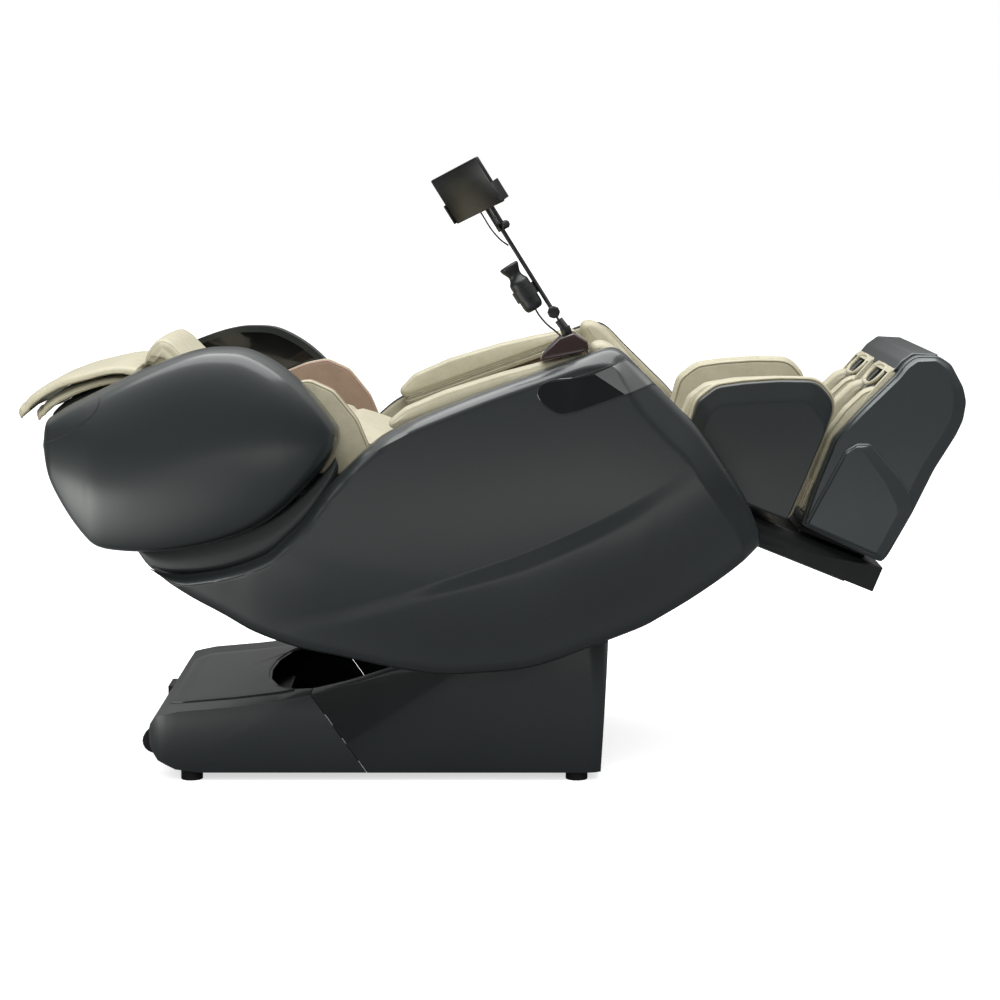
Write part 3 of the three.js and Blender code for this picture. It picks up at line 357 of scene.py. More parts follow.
# ---------------------------------------------------------------- side panels
# The leaf-shaped sides of the body are injection-moulded ABS, painted dark slate metallic and clear-coated. A
# broad bevel follows the front edge and a raised character line crosses the lower half.
def painted_shell(name, dark, light):
    """Two-coat metallic paint on ABS: fine flake in the base coat, and a clear coat with faint orange
    peel."""
    made, tree, shader = finish(
        name, Metallic=0.35, Roughness=0.38, Coat_Weight=0.8, Coat_Roughness=0.17, Coat_IOR=1.5
    )
    flake = pattern(tree, "ShaderNodeTexVoronoi", 0.9)
    haze = pattern(tree, "ShaderNodeTexNoise", 260, Detail=2.0)
    mixed = add_node(tree, "ShaderNodeMath", {0: flake.outputs["Color"], 1: 0.35}, operation="MULTIPLY")
    share = add_node(
        tree, "ShaderNodeMath", {0: mixed.outputs[0], 1: haze.outputs["Fac"]}, operation="MULTIPLY"
    )
    two_tone(tree, shader, share.outputs[0], dark, light)
    roughened(tree, shader, haze.outputs["Fac"], 0.34, 0.44)
    peel = pattern(tree, "ShaderNodeTexNoise", 7, Detail=1.0)
    bumped(tree, shader, peel.outputs["Fac"], 0.02, 0.0004, "Coat Normal")
    return made


SLATE = painted_shell("slate_metallic_paint", "#1e2323", "#3a3f3f")

PANEL_TAIL, PANEL_NOSE = -731, 547
PANEL_OUT = 440
PANEL_FLANGE_Y = 364.0
panel_upper = [
    [-731, 461], [-691, 452], [-640, 453], [-565, 466], [-491, 493], [-450, 526], [-405, 571], [-365, 626],
    [-335, 661], [-291, 705], [-250, 740], [-206, 765], [-163, 786], [-37, 836], [89, 881], [173, 912],
    [215, 926], [240, 926], [262, 912], [299, 874], [355, 819], [413, 759], [479, 664], [512, 612],
    [541, 545], [547, 524],
]
panel_lower = [
    [-731, 461], [-695, 441], [-640, 406], [-576, 371], [-510, 333], [-420, 300], [-340, 283], [-264, 266],
    [-180, 250], [-99, 243], [37, 253], [110, 271], [173, 295], [289, 340], [336, 365], [406, 408],
    [479, 460], [534, 507], [547, 524],
]
character_line = [
    [-800, 300], [-560, 345], [-439, 368], [-271, 406], [-27, 482], [99, 529], [208, 579], [301, 630],
    [420, 705], [600, 820],
]


def crowded(count):
    """Shares from 0 to 1 that crowd at both ends, by half a cosine."""
    return (1 - np.cos(np.linspace(0, np.pi, count))) / 2


def height_on(rail, x):
    """A rail's z at each x, and the cosine of its slope there, which turns a drop in z into a distance from
    the rail."""
    line = curve(rail, 400)
    order = np.argsort(line[:, 0])
    line = line[order]
    z = np.interp(x, line[:, 0], line[:, 1])
    step = 4.0
    slope = (
        np.interp(x + step, line[:, 0], line[:, 1]) - np.interp(x - step, line[:, 0], line[:, 1])
    ) / (2 * step)
    return z, 1 / np.sqrt(1 + slope**2)


def rounding(distance, radius):
    """How far a quarter-round edge of this radius has risen at a distance from the edge: sqrt(1 - (1 -
    d/r)^2)."""
    return np.sqrt(np.clip(1 - (1 - np.clip(distance / radius, 0, 1)) ** 2, 0, 1))


def ease(value, low, high):
    """A smooth step from 0 at low to 1 at high: 3t^2 - 2t^3."""
    t = np.clip((value - low) / (high - low), 0, 1)
    return t * t * (3 - 2 * t)


def panel_depth(x, z, high, high_cos, low, low_cos):
    """How far out a side panel stands, in millimetres: a flat bulge less a rounded rim, a bevel whose width
    grows to 60 along the front edge, a long fall to the belly, and a step along the character line."""
    from_top = (high - z) * high_cos
    from_belly = (z - low) * low_cos
    width = 16 + 44 * ease(x, 150, 330)
    bevel = 20 * (1 - np.clip(from_top / width, 0, 1))
    belly = 30 * (1 - ease(from_belly, 0, 230)) ** 1.4
    line_z = np.interp(x, *curve(character_line, 200).T)
    above = z - line_z
    strength = 4.5 * ease(x, -520, -250) * (1 - ease(x, 130, 400))
    step = np.where(above > 0, np.exp(-np.clip(above, 0, None) / 110), 1 - ease(-above, 0, 42))
    rims = 17 * (1 - rounding(from_top, 13)) + 20 * (1 - rounding(from_belly, 26))
    return PANEL_OUT - bevel - belly - strength * step - rims


def body_panel(name, side):
    """Vertical stations from tail to toe. Each ring runs down the outside, along the lower flange and back up
    inside."""
    stations = PANEL_TAIL + (PANEL_NOSE - PANEL_TAIL) * crowded(190)
    stations[0], stations[-1] = PANEL_TAIL + 0.4, PANEL_NOSE - 0.4
    high, high_cos = height_on(panel_upper, stations)
    low, low_cos = height_on(panel_lower, stations)
    high = np.maximum(high, low + 0.5)
    crease = np.clip(
        np.interp(stations, *curve(character_line, 200).T), low + 0.2 * (high - low),
        low + 0.75 * (high - low)
    )
    down = np.concatenate([crowded(40), 1 + crowded(34)[1:]])
    share = down[None, :]
    z = np.where(
        share <= 1, high[:, None] + (crease - high)[:, None] * share,
        crease[:, None] + (low - crease)[:, None] * (share - 1)
    )
    x = np.broadcast_to(stations[:, None], z.shape)
    depth = panel_depth(x, z, high[:, None], high_cos[:, None], low[:, None], low_cos[:, None])
    inner_z = z + (0.5 * (high + low)[:, None] - z) * np.clip(6 / np.maximum(high - low, 12), 0, 0.5)[:, None]
    inner = np.maximum(depth - 6, PANEL_FLANGE_Y + 2)
    flange = np.full((len(stations), 1), PANEL_FLANGE_Y)
    rings = np.concatenate(
        [
            chair_point(x[:, :1], side * flange, z[:, :1]), chair_point(x, side * depth, z),
            chair_point(x[:, :1], side * flange, z[:, -1:]),
            chair_point(x[:, :1], side * flange, inner_z[:, -1:]),
            chair_point(x[:, ::-1], side * inner[:, ::-1], inner_z[:, ::-1]),
            chair_point(x[:, :1], side * flange, inner_z[:, :1]),
        ],
        1,
    )
    return loft(name, rings, SLATE, sharp=40)


def trim(piece, body, slot, *nodes):
    """Hang a hard part on its body, and hide the solids it stands for; slot is not used."""
    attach(piece, body)
    if nodes:
        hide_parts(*nodes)


SIDES = (("right", -1), ("left", 1))
for side_name, side in SIDES:
    panel = body_panel("body_panel_" + side_name, side)
    trim(panel, "seat", "graphite_gloss", "side_panel_" + side_name)


# ---------------------------------------------------------------- shoulder wings
# Two blown covers close in on the head and shoulders. The same paint as the body; inside each is a black
# gloss liner over the speaker.
WING_TAIL, WING_NOSE = -953, -334
WING_MIDDLE = (-640, 716)
WING_LIP_Y = 304.0
wing_upper = [
    [-953, 726], [-948, 761], [-941, 776], [-926, 786], [-891, 807], [-815, 844], [-741, 879], [-666, 908],
    [-615, 921], [-576, 924], [-530, 921], [-491, 906], [-450, 881], [-415, 851], [-380, 814], [-351, 776],
    [-338, 756], [-334, 736],
]
wing_lower = [
    [-953, 726], [-950, 690], [-937, 643], [-905, 583], [-868, 532], [-838, 508], [-786, 499], [-711, 498],
    [-640, 507], [-565, 526], [-500, 553], [-450, 588], [-400, 636], [-361, 681], [-341, 712], [-334, 736],
]


def wing_depth(x, z, high, high_cos, low, low_cos):
    """A dome: a quick rounded rim, then a long swell that is the product of the distances from both edges."""
    from_top, from_bottom = (high - z) * high_cos, (z - low) * low_cos
    ends = rounding(x - WING_TAIL, 200) * rounding(WING_NOSE - x, 120)
    near = np.minimum(np.minimum(from_top, from_bottom), 400)
    rim = rounding(near, 14)
    swell = np.sqrt(rounding(from_top, 240) * rounding(from_bottom, 240)) * (0.55 + 0.45 * ends)
    return 318 + 34 * rim + 88 * swell


def wing_cover(name, side):
    """The same vertical stations as a body panel, but with the wing's rails, dome and open inner side."""
    stations = WING_TAIL + (WING_NOSE - WING_TAIL) * crowded(150)
    stations[0], stations[-1] = WING_TAIL + 0.2, WING_NOSE - 0.2
    high, high_cos = height_on(wing_upper, stations)
    low, low_cos = height_on(wing_lower, stations)
    high = np.maximum(high, low + 0.5)
    z = high[:, None] + (low - high)[:, None] * crowded(70)[None, :]
    x = np.broadcast_to(stations[:, None], z.shape)
    depth = wing_depth(x, z, high[:, None], high_cos[:, None], low[:, None], low_cos[:, None])
    middle_x, middle_z = WING_MIDDLE
    inner_x = middle_x + (x - middle_x) * 0.95
    inner_z = middle_z + (z - middle_z) * 0.93
    inner = np.maximum(depth - 10, 312)
    lip = np.full((len(stations), 1), WING_LIP_Y)
    rings = np.concatenate(
        [
            chair_point(x[:, :1], side * lip, z[:, :1]), chair_point(x, side * depth, z),
            chair_point(x[:, :1], side * lip, z[:, -1:]),
            chair_point(inner_x[:, :1], side * lip, inner_z[:, -1:]),
            chair_point(inner_x[:, ::-1], side * inner[:, ::-1], inner_z[:, ::-1]),
            chair_point(inner_x[:, :1], side * lip, inner_z[:, :1]),
        ],
        1,
    )
    return loft(name, rings, SLATE, sharp=50)


def glossy_black(name, colour="#0b0c0d"):
    """Polished black ABS or glass: a mirror-smooth face with a little handling haze."""
    made, tree, shader = finish(
        name, Base_Color=linear(colour), Roughness=0.06, Coat_Weight=0.6, Coat_Roughness=0.02
    )
    smear = pattern(tree, "ShaderNodeTexNoise", 60, Detail=4.0, Roughness=0.6)
    roughened(tree, shader, smear.outputs["Fac"], 0.04, 0.13, **{"From Min": 0.4, "From Max": 0.7})
    return made


PIANO_BLACK = glossy_black("piano_black_abs")


def wing_liner(name, side):
    """A dished panel inside the wing: the wing's outline drawn in to 0.945 and sunk 30 mm at its middle."""
    outline = np.concatenate([curve(wing_upper, 60), curve(wing_lower, 60)[-2:0:-1]])
    middle = np.array(WING_MIDDLE)
    shares = 0.945 * (1 - crowded(24) * 0.995)
    ring = middle + (outline - middle)[None] * shares[:, None, None]
    sunk = 306 + 30 * (1 - (shares / 0.945) ** 4)[:, None]
    front = chair_point(ring[..., 0], side * sunk, ring[..., 1])
    rear = chair_point(ring[::-1, :, 0], side * (sunk[::-1] + 3), ring[::-1, :, 1])
    return loft(name, np.concatenate([front, rear]), PIANO_BLACK, sharp=40)


cap_rail = curve([(-946, 729), (-905, 744), (-865, 768), (-840, 788), (-826, 806), (-822, 826)], 60)
for side_name, side in SIDES:
    wing = wing_cover("wing_cover_" + side_name, side)
    trim(wing, "backrest", "graphite_gloss", "wing_shell_" + side_name)
    liner = wing_liner("wing_liner_" + side_name, side)
    trim(liner, "backrest", "black_gloss")
    x, z = cap_rail.T
    high, high_cos = height_on(wing_upper, x)
    low, low_cos = height_on(wing_lower, x)
    seam = tube(
        "wing_cap_seam_" + side_name,
        chair_point(x, side * wing_depth(x, z, high, high_cos, low, low_cos), z), 0.8 * MM, SATIN_BLACK,
        sides=6,
    )
    trim(seam, "backrest", "black_plastic")


# ---------------------------------------------------------------- back cover
# A moulded pan closes the rear of the backrest between the two wings. It is held by its flanges under the
# wings.
back_rail = curve(
    [
        (-948, 764), (-951, 726), (-935, 672), (-896, 600), (-846, 548), (-792, 514), (-735, 498),
        (-660, 496), (-600, 503)
    ],
    90
)
along = unit(np.gradient(back_rail, axis=0))
PAN_HALF_WIDTH = 297
PAN_WALL = 6
across_pan = PAN_HALF_WIDTH * np.sin(np.linspace(-np.pi / 2, np.pi / 2, 41))
sunk = 16 * (1 - rounding(PAN_HALF_WIDTH - np.abs(across_pan), 30))


def pan_layer(depth):
    """The pan's rail pushed inward by depth, and by a rounded edge at both sides."""
    push = depth + sunk[None, :]
    x = back_rail[:, :1] - along[:, 1:] * push
    z = back_rail[:, 1:] + along[:, :1] * push
    return chair_point(x, across_pan[None, :] + 0 * x, z)


back_pan = loft(
    "back_cover_pan", np.concatenate([pan_layer(0), pan_layer(PAN_WALL)[:, ::-1]], 1), SLATE, sharp=50
)
trim(back_pan, "backrest", "graphite_gloss", "back_cover")


# ---------------------------------------------------------------- panel trim
# Each side panel has a tapering window of black acrylic in a thin bright bezel, and a strip of brushed,
# anodised aluminium that runs from the window over the front bevel. All three are pressed into the panel from
# outside.
def surface_patch(name, side, upper, lower, shares, lift, thickness, material, count=48):
    """A thin plate that hugs the panel: between two rails, its outside stands lift over the panel's own
    depth."""
    top, bottom = curve(upper, count), curve(lower, count)
    edge = np.asarray(shares)[None, :, None]
    flat = top[:, None] + (bottom - top)[:, None] * edge
    x, z = flat[..., 0], flat[..., 1]
    high, high_cos = height_on(panel_upper, x)
    low, low_cos = height_on(panel_lower, x)
    z = np.minimum(z, high - 1)
    depth = panel_depth(x, z, high, high_cos, low, low_cos)
    rings = np.concatenate(
        [chair_point(x, side * (depth + lift), z), chair_point(x, side * (depth - thickness), z)[:, ::-1]], 1
    )
    return loft(name, rings, material, sharp=40)


def brushed_metal(name, colour, roughness, grain_mm=0.6):
    """Anodised aluminium brushed along x: fine streaks 0.6 mm apart, stretched thirty times along the
    grain."""
    made, tree, shader = finish(name, Base_Color=linear(colour), Metallic=1.0)
    place = add_node(tree, "ShaderNodeTexCoord")
    drawn = add_node(
        tree, "ShaderNodeMapping", {"Vector": place.outputs["Object"], "Scale": (1 / 30, 1.0, 1.0)}
    )
    streak = add_node(
        tree, "ShaderNodeTexNoise", {"Vector": drawn.outputs[0], "Scale": 1000 / grain_mm, "Detail": 3.0}
    )
    roughened(tree, shader, streak.outputs["Fac"], roughness - 0.06, roughness + 0.1)
    bumped(tree, shader, streak.outputs["Fac"], 0.05, 0.0001)
    return made


ALUMINIUM = brushed_metal("brushed_anodised_aluminium", "#8f9090", 0.3)
window_upper = [(78, 838), (84, 852), (100, 860), (140, 866), (170, 872), (193, 878)]
window_lower = [(78, 838), (88, 821), (108, 805), (130, 797), (170, 807), (255, 837)]
strip_upper = [(194, 878), (228, 893), (258, 907)]
strip_lower = [(256, 837), (286, 848), (318, 860)]
slot_upper = [(78, 838), (83, 854), (110, 866), (150, 870), (196, 884), (232, 897), (262, 906)]
slot_lower = [(78, 838), (87, 820), (108, 803), (130, 795), (170, 805), (255, 835), (286, 846), (320, 858)]


def panel_line(name, side, rail, radius, material, count=70):
    """A thin raised bead laid on the panel along a rail."""
    x, z = curve(rail, count).T
    high, high_cos = height_on(panel_upper, x)
    low, low_cos = height_on(panel_lower, x)
    z = np.minimum(z, high - 1.5)
    depth = panel_depth(x, z, high, high_cos, low, low_cos)
    return tube(name, chair_point(x, side * depth, z), radius * MM, material, sides=8)


for side_name, side in SIDES:
    window = surface_patch(
        "badge_window_face_" + side_name, side, window_upper, window_lower, crowded(16), 1.2, 3, PIANO_BLACK
    )
    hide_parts("badge_window_" + side_name)
    strip = surface_patch(
        "trim_strip_" + side_name, side, strip_upper, strip_lower, crowded(16), 1.0, 3, ALUMINIUM
    )
    upper_bead = panel_line("trim_slot_upper_" + side_name, side, slot_upper, 1.1, SATIN_BLACK)
    lower_bead = panel_line("trim_slot_lower_" + side_name, side, slot_lower, 1.1, SATIN_BLACK)
    bezel = panel_line(
        "window_bezel_" + side_name, side, slot_lower[-3::-1] + slot_upper[1:4], 0.9, ALUMINIUM
    )
    for piece, slot in ((window, "black_gloss"), (strip, "frame_alloy"), (bezel, "frame_alloy")):
        trim(piece, "seat", slot)
    for piece in (upper_bead, lower_bead):
        trim(piece, "seat", "black_plastic")


# ---------------------------------------------------------------- hip covers
# A moulded band under each wing that turns with the back and slides inside the body panel.
hip_outer = [
    [-765, 506], [-700, 504], [-638, 512], [-562, 530], [-497, 555], [-446, 587], [-396, 631], [-357, 675],
    [-342, 697],
]
hip_inner = [
    [-765, 506], [-722, 456], [-640, 444], [-560, 452], [-480, 482], [-425, 528], [-385, 577], [-352, 630],
    [-336, 672], [-342, 697],
]
for side_name, side in SIDES:
    top, bottom = curve(hip_outer, 90), curve(hip_inner, 90)
    share = crowded(20)
    flat = top[:, None] + (bottom - top)[:, None] * share[None, :, None]
    bulge = 350.5 + 6 * np.sqrt(np.clip(1 - (2 * share - 1) ** 2, 0, 1))[None, :] * np.ones((90, 1))
    outer = chair_point(flat[..., 0], side * bulge, flat[..., 1])
    inner = chair_point(flat[..., 0], side * np.full_like(bulge, 346.0), flat[..., 1])[:, ::-1]
    band = loft("hip_band_" + side_name, np.concatenate([outer, inner], 1), SLATE, sharp=35)
    trim(band, "backrest", "graphite_gloss", "hip_cover_" + side_name)


# ---------------------------------------------------------------- shoulder pads
# Cut and sewn synthetic leather over foam, one inside each wing: ivory on the outer face, taupe on the inner,
# with a piped seam round both edges.
def synthetic_leather(name, light, dark):
    """PU leather: pebbles about 1.6 mm across with soft valleys, the colour darker towards the valleys and
    where a 28 mm fold texture is high."""
    made, tree, shader = finish(name)
    pebble = pattern(tree, "ShaderNodeTexVoronoi", 1.6)
    fold = pattern(tree, "ShaderNodeTexNoise", 28, Detail=4.0, Roughness=0.55)
    valley = add_node(
        tree, "ShaderNodeMapRange", {"Value": pebble.outputs["Distance"], "From Max": 0.7, "To Max": 1.0}
    )
    tone = add_node(
        tree, "ShaderNodeMath", {0: valley.outputs[0], 1: fold.outputs["Fac"]}, operation="MULTIPLY"
    )
    two_tone(tree, shader, tone.outputs[0], light, dark)
    roughened(tree, shader, fold.outputs["Fac"], 0.42, 0.6)
    grain = bumped(tree, shader, pebble.outputs["Distance"], 0.28, 0.0003)
    grain.invert = True
    crease = bumped(tree, shader, fold.outputs["Fac"], 0.3, 0.002)
    tree.links.new(grain.outputs[0], crease.inputs["Normal"])
    shader.inputs["Sheen Weight"].default_value = 0.08
    return made


IVORY = synthetic_leather("ivory_pu_leather", "#aaa58f", "#8b866f")
TAUPE = synthetic_leather("taupe_pu_leather", "#84705f", "#675647")
IVORY_PIPING = synthetic_leather("ivory_piping_leather", "#8f8a72", "#6d6953")
TAUPE_PIPING = synthetic_leather("taupe_piping_leather", "#8a6f60", "#6b5548")


def soft_ring(outline, count, softness):
    """A closed outline, evenly spaced, with its corners rounded over about softness mm by a circular
    average."""
    ring = evenly(np.asarray(outline, float), count, closed=True)
    step = np.linalg.norm(np.roll(ring, -1, 0) - ring, axis=1).mean()
    for _ in range(max(1, int((softness / step) ** 2 / 2))):
        ring = 0.5 * ring + 0.25 * (np.roll(ring, 1, 0) + np.roll(ring, -1, 0))
    return ring


def inward(ring):
    """Unit vectors that point into a ring."""
    ahead = unit(np.roll(ring, -1, 0) - np.roll(ring, 1, 0))
    turn = np.sum(ring[:, 0] * np.roll(ring[:, 1], -1) - ring[:, 1] * np.roll(ring[:, 0], -1))
    return np.stack([-ahead[:, 1], ahead[:, 0]], 1) * np.sign(turn)


def nearest(line, points):
    """The point of a polyline that is nearest to each point."""
    line = np.asarray(line, float)
    a, d = line[:-1], np.diff(line, axis=0)
    t = np.clip(((points[..., None, :] - a) * d).sum(-1) / (d**2).sum(-1), 0, 1)
    close = a + t[..., None] * d
    gap = np.linalg.norm(points[..., None, :] - close, axis=-1)
    best = gap.argmin(-1)
    return np.take_along_axis(close, best[..., None, None], -2)[..., 0, :]


def stuffed(name, place, outline, low, high, radius, crown, material, spine, softness=14, count=180):
    """A sewn pad. Its outline lies in a section's x and z, and it is low to high wide. The edge turns in with
    a quarter round, the sides swell, and each face rises by crown times 1 - s^2 from its edge to the pad's
    spine."""
    low, high = sorted((low, high))
    ring = soft_ring(outline, count, softness)
    towards = inward(ring)
    turn = np.linspace(0, np.pi / 2, 7)
    side = np.linspace(0, 1, 7)[1:-1]
    inner = ring + towards * radius
    middle = nearest(spine, inner)
    shares = np.concatenate([np.linspace(0.06, 0.9, 16), [0.96]])
    face = middle[None] + (inner - middle)[None] * shares[:, None, None]
    rise = crown * (1 - shares**2)[:, None] * np.ones(count)
    edge = ring[None] + towards[None] * (radius * (1 - np.sin(turn)))[:, None, None]
    edge_rise = (radius * (1 - np.cos(turn)))[:, None] * np.ones(count)
    swell = 2.0 * np.sin(np.pi * side)
    wall = ring[None] - towards[None] * swell[:, None, None]
    wall_y = low + radius + (high - low - 2 * radius) * side
    flat = np.concatenate([face, edge, wall, edge[::-1], face[::-1]])
    y = np.concatenate(
        [
            low - rise, low + edge_rise, np.repeat(wall_y[:, None], count, 1), high - edge_rise[::-1],
            high + rise[::-1]
        ]
    )
    return loft(name, place(flat[..., 0], y, flat[..., 1]), material)


def piped(name, place, outline, y, inset, radius, material, softness=14, count=180):
    """A cord of piping sewn into a pad's edge at y, inset from its outline."""
    ring = soft_ring(outline, count, softness)
    line = ring + inward(ring) * inset
    return tube(name, place(line[:, 0], y, line[:, 1]), radius * MM, material, sides=8, closed=True)


def cushion(piece, body, slot, fill, *nodes):
    """Hang a pad on its body, and hide the solids it stands for; slot and fill are not used."""
    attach(piece, body)
    if nodes:
        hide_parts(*nodes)


shoulder_outline = [
    (-590, 742), (-560, 785), (-511, 815), (-447, 841), (-400, 850), (-350, 827), (-302, 767), (-276, 704),
    (-272, 668), (-300, 648), (-400, 655), (-500, 678), (-570, 706),
]
shoulder_spine = [(-500, 735), (-380, 730)]
for side_name, side in SIDES:
    for layer, material, near, far, pipe in (
        ("outer", IVORY, 260, 280, IVORY_PIPING), ("inner", TAUPE, 240, 260, TAUPE_PIPING),
    ):
        pad = stuffed(
            f"shoulder_pad_{layer}_{side_name}", chair_point, shoulder_outline, side * near, side * far, 7, 4,
            material, shoulder_spine
        )
        cushion(pad, "backrest", "ivory_leather" if layer == "outer" else "taupe_leather", 0.7,
                *(["shoulder_pad_" + side_name] if layer == "outer" else []))
        edge = side * (far - 3 if layer == "outer" else near + 3)
        bead = piped(
            f"shoulder_piping_{layer}_{side_name}", chair_point, shoulder_outline, edge, 2.0, 2.6, pipe
        )
        trim(bead, "backrest", "ivory_leather" if layer == "outer" else "taupe_leather")


# ---------------------------------------------------------------- armrests
# Each armrest is an ivory flap over the forearm, a nose pad at its front end, and a taupe channel that the
# forearm lies in. They are foam in sewn covers, and the flap's lip is a separate roll below a stitched seam.
def section(pivot_x, pivot_z, degrees):
    """A section's own drawing plane, turned about its pivot: its x runs along the section and its z off
    it."""
    c, s = np.cos(np.radians(degrees)), np.sin(np.radians(degrees))

    def place(x, y, z):
        """The section's x and z and the chair's y, in millimetres, as a point in metres."""
        return chair_point(pivot_x + c * x + s * z, y, pivot_z - s * x + c * z)

    return place


seat_point = section(-125, 600, -20)
back_point = section(-125, 600, 15)
leg_point = section(400, 680, 22)


def stitches(name, line, out, pitch, material, radius=0.55):
    """Thread along a line in metres: one short rounded bar for every pitch mm, standing a little off the
    leather."""
    line = evenly(np.asarray(line), 400)
    length = np.linalg.norm(np.diff(line, axis=0), axis=1).sum() / MM
    centres = evenly(line, max(2, int(length / pitch)))
    ahead = unit(np.gradient(centres, axis=0))
    up = unit(np.asarray(out, float) - (ahead * np.asarray(out, float)).sum(1)[:, None] * ahead)
    side = np.cross(ahead, up)
    along = np.array([-0.36, -0.26, 0.26, 0.36]) * pitch
    size = np.array([0.3, 1, 1, 0.3]) * radius
    angle = np.linspace(0, 2 * np.pi, 6, endpoint=False)
    spokes = np.cos(angle)[None, :, None] * side[:, None] + np.sin(angle)[None, :, None] * up[:, None]
    ring = size[None, :, None, None] * spokes[:, None]
    points = centres[:, None, None] + MM * (along[None, :, None, None] * ahead[:, None, None] + ring)
    quads = lattice(4, 6)
    ends = [[5, 4, 3, 2, 1, 0], [18, 19, 20, 21, 22, 23]]
    faces = [[v + 24 * k for v in face] for k in range(len(centres)) for face in quads + ends]
    return build(name, points.reshape(-1, 3), faces, material)


THREAD = synthetic_leather("ivory_polyester_thread", "#b5b09a", "#8d8871")
flap_outline = [
    (-43, 186), (-30, 176), (380, 176), (390, 178), (388, 196), (300, 210), (214, 221), (90, 228), (0, 222),
    (-43, 200)
]
lip_outline = [(-38, 161), (386, 161), (390, 176), (-40, 176)]
nose_outline = [
    (406, -40), (516, -40), (510, 25), (486, 100), (464, 156), (452, 182), (436, 200), (414, 206), (404, 194)
]
channel_profile = [
    (-354, -70), (-354, 150), (-351, 158), (-346, 158), (-343.5, 150), (-342, 116), (-334, 106), (-318, 101),
    (-296, 101), (-280, 97), (-271, 88), (-270, -70),
]
FLAP_SINK = {"right": 13, "left": 0}  # the tablet dock holds the right flap's foam down
for side_name, side in SIDES:
    low, high = side * 292, side * 350
    sink = FLAP_SINK[side_name] / 50
    sunk_outline = [(x, 176 + (z - 176) * (1 - sink)) for x, z in flap_outline]
    flap = stuffed(
        "arm_flap_pad_" + side_name, seat_point, sunk_outline, low, high, 7, 2.5, IVORY,
        [(-20, 192), (350, 188)], softness=11,
    )
    cushion(flap, "seat", "ivory_leather", 0.8, "arm_flap_" + side_name)
    lip = stuffed(
        "arm_flap_lip_" + side_name, seat_point, lip_outline, low, high, 6, 1.5, IVORY,
        [(-24, 168.5), (376, 168.5)], softness=7
    )
    cushion(lip, "seat", "ivory_leather", 0.7)
    for face in (-1, 1):
        y = side * 321 + face * 28.5
        seam_x = np.linspace(-36, 384, 60)
        bead = tube(
            f"arm_flap_welt_{side_name}_{'outer' if face * side > 0 else 'inner'}",
            seat_point(seam_x, y + face * 2.2, 176.5 + 0 * seam_x), 1.8 * MM, IVORY_PIPING,
        )
        trim(bead, "seat", "ivory_leather")
        thread = stitches(
            f"arm_flap_stitches_{side_name}_{'outer' if face * side > 0 else 'inner'}",
            seat_point(seam_x, y + face * 3.4, 181 + 0 * seam_x), (0, face, 0), 4.5, THREAD,
        )
        trim(thread, "seat", "ivory_leather")
    nose = stuffed(
        "arm_nose_pad_" + side_name, seat_point, nose_outline, side * 275, side * 351, 16, 3, IVORY,
        [(450, 0), (440, 120)], softness=16
    )
    cushion(nose, "seat", "ivory_leather", 0.85, "arm_nose_" + side_name)
    nose_bead = piped(
        "arm_nose_piping_" + side_name, seat_point, nose_outline, side * 349, 12, 2.2, IVORY_PIPING,
        softness=16
    )
    trim(nose_bead, "seat", "ivory_leather")
    section_yz = soft_ring(channel_profile, 120, 5)
    x = np.concatenate([[40], 44 + 352 * np.linspace(0, 1, 40), [400]])
    swell = 1 + 0.004 * np.sin(np.linspace(0, 6 * np.pi, len(x)))
    rings = seat_point(
        x[:, None], -side * section_yz[None, :, 0], section_yz[None, :, 1] * swell[:, None] - 1.0
    )
    channel = loft("forearm_channel_" + side_name, rings, TAUPE, sharp=60)
    cushion(channel, "seat", "taupe_leather", 0.6, "arm_pad_" + side_name)


# ---------------------------------------------------------------- panel edge linings
# A strip of ivory synthetic leather over thin foam follows the inner top edge of each side panel. It is
# clipped on.
def edge_lining(name, side, material):
    """A strip that hangs from 1.5 to 46 below the panel's upper rail, on the panel's inner face."""
    x = np.linspace(-318, 520, 170)
    high, high_cos = height_on(panel_upper, x)
    share = np.linspace(0, 1, 14)
    z = high[:, None] - (1.5 + 44.5 * share[None, :]) / high_cos[:, None]
    swell = 2.5 * np.sqrt(np.clip(1 - (2 * share - 1) ** 4, 0, 1))[None, :] + 0 * z
    x = x[:, None] + 0 * z
    rings = np.concatenate(
        [chair_point(x, side * (350.5 - swell), z), chair_point(x, side * (351.5 + 0 * z), z)[:, ::-1]], 1
    )
    return loft(name, rings, material, sharp=50)


for side_name, side in SIDES:
    lining_strip = edge_lining("panel_edge_lining_" + side_name, side, IVORY)
    trim(lining_strip, "seat", "ivory_leather")


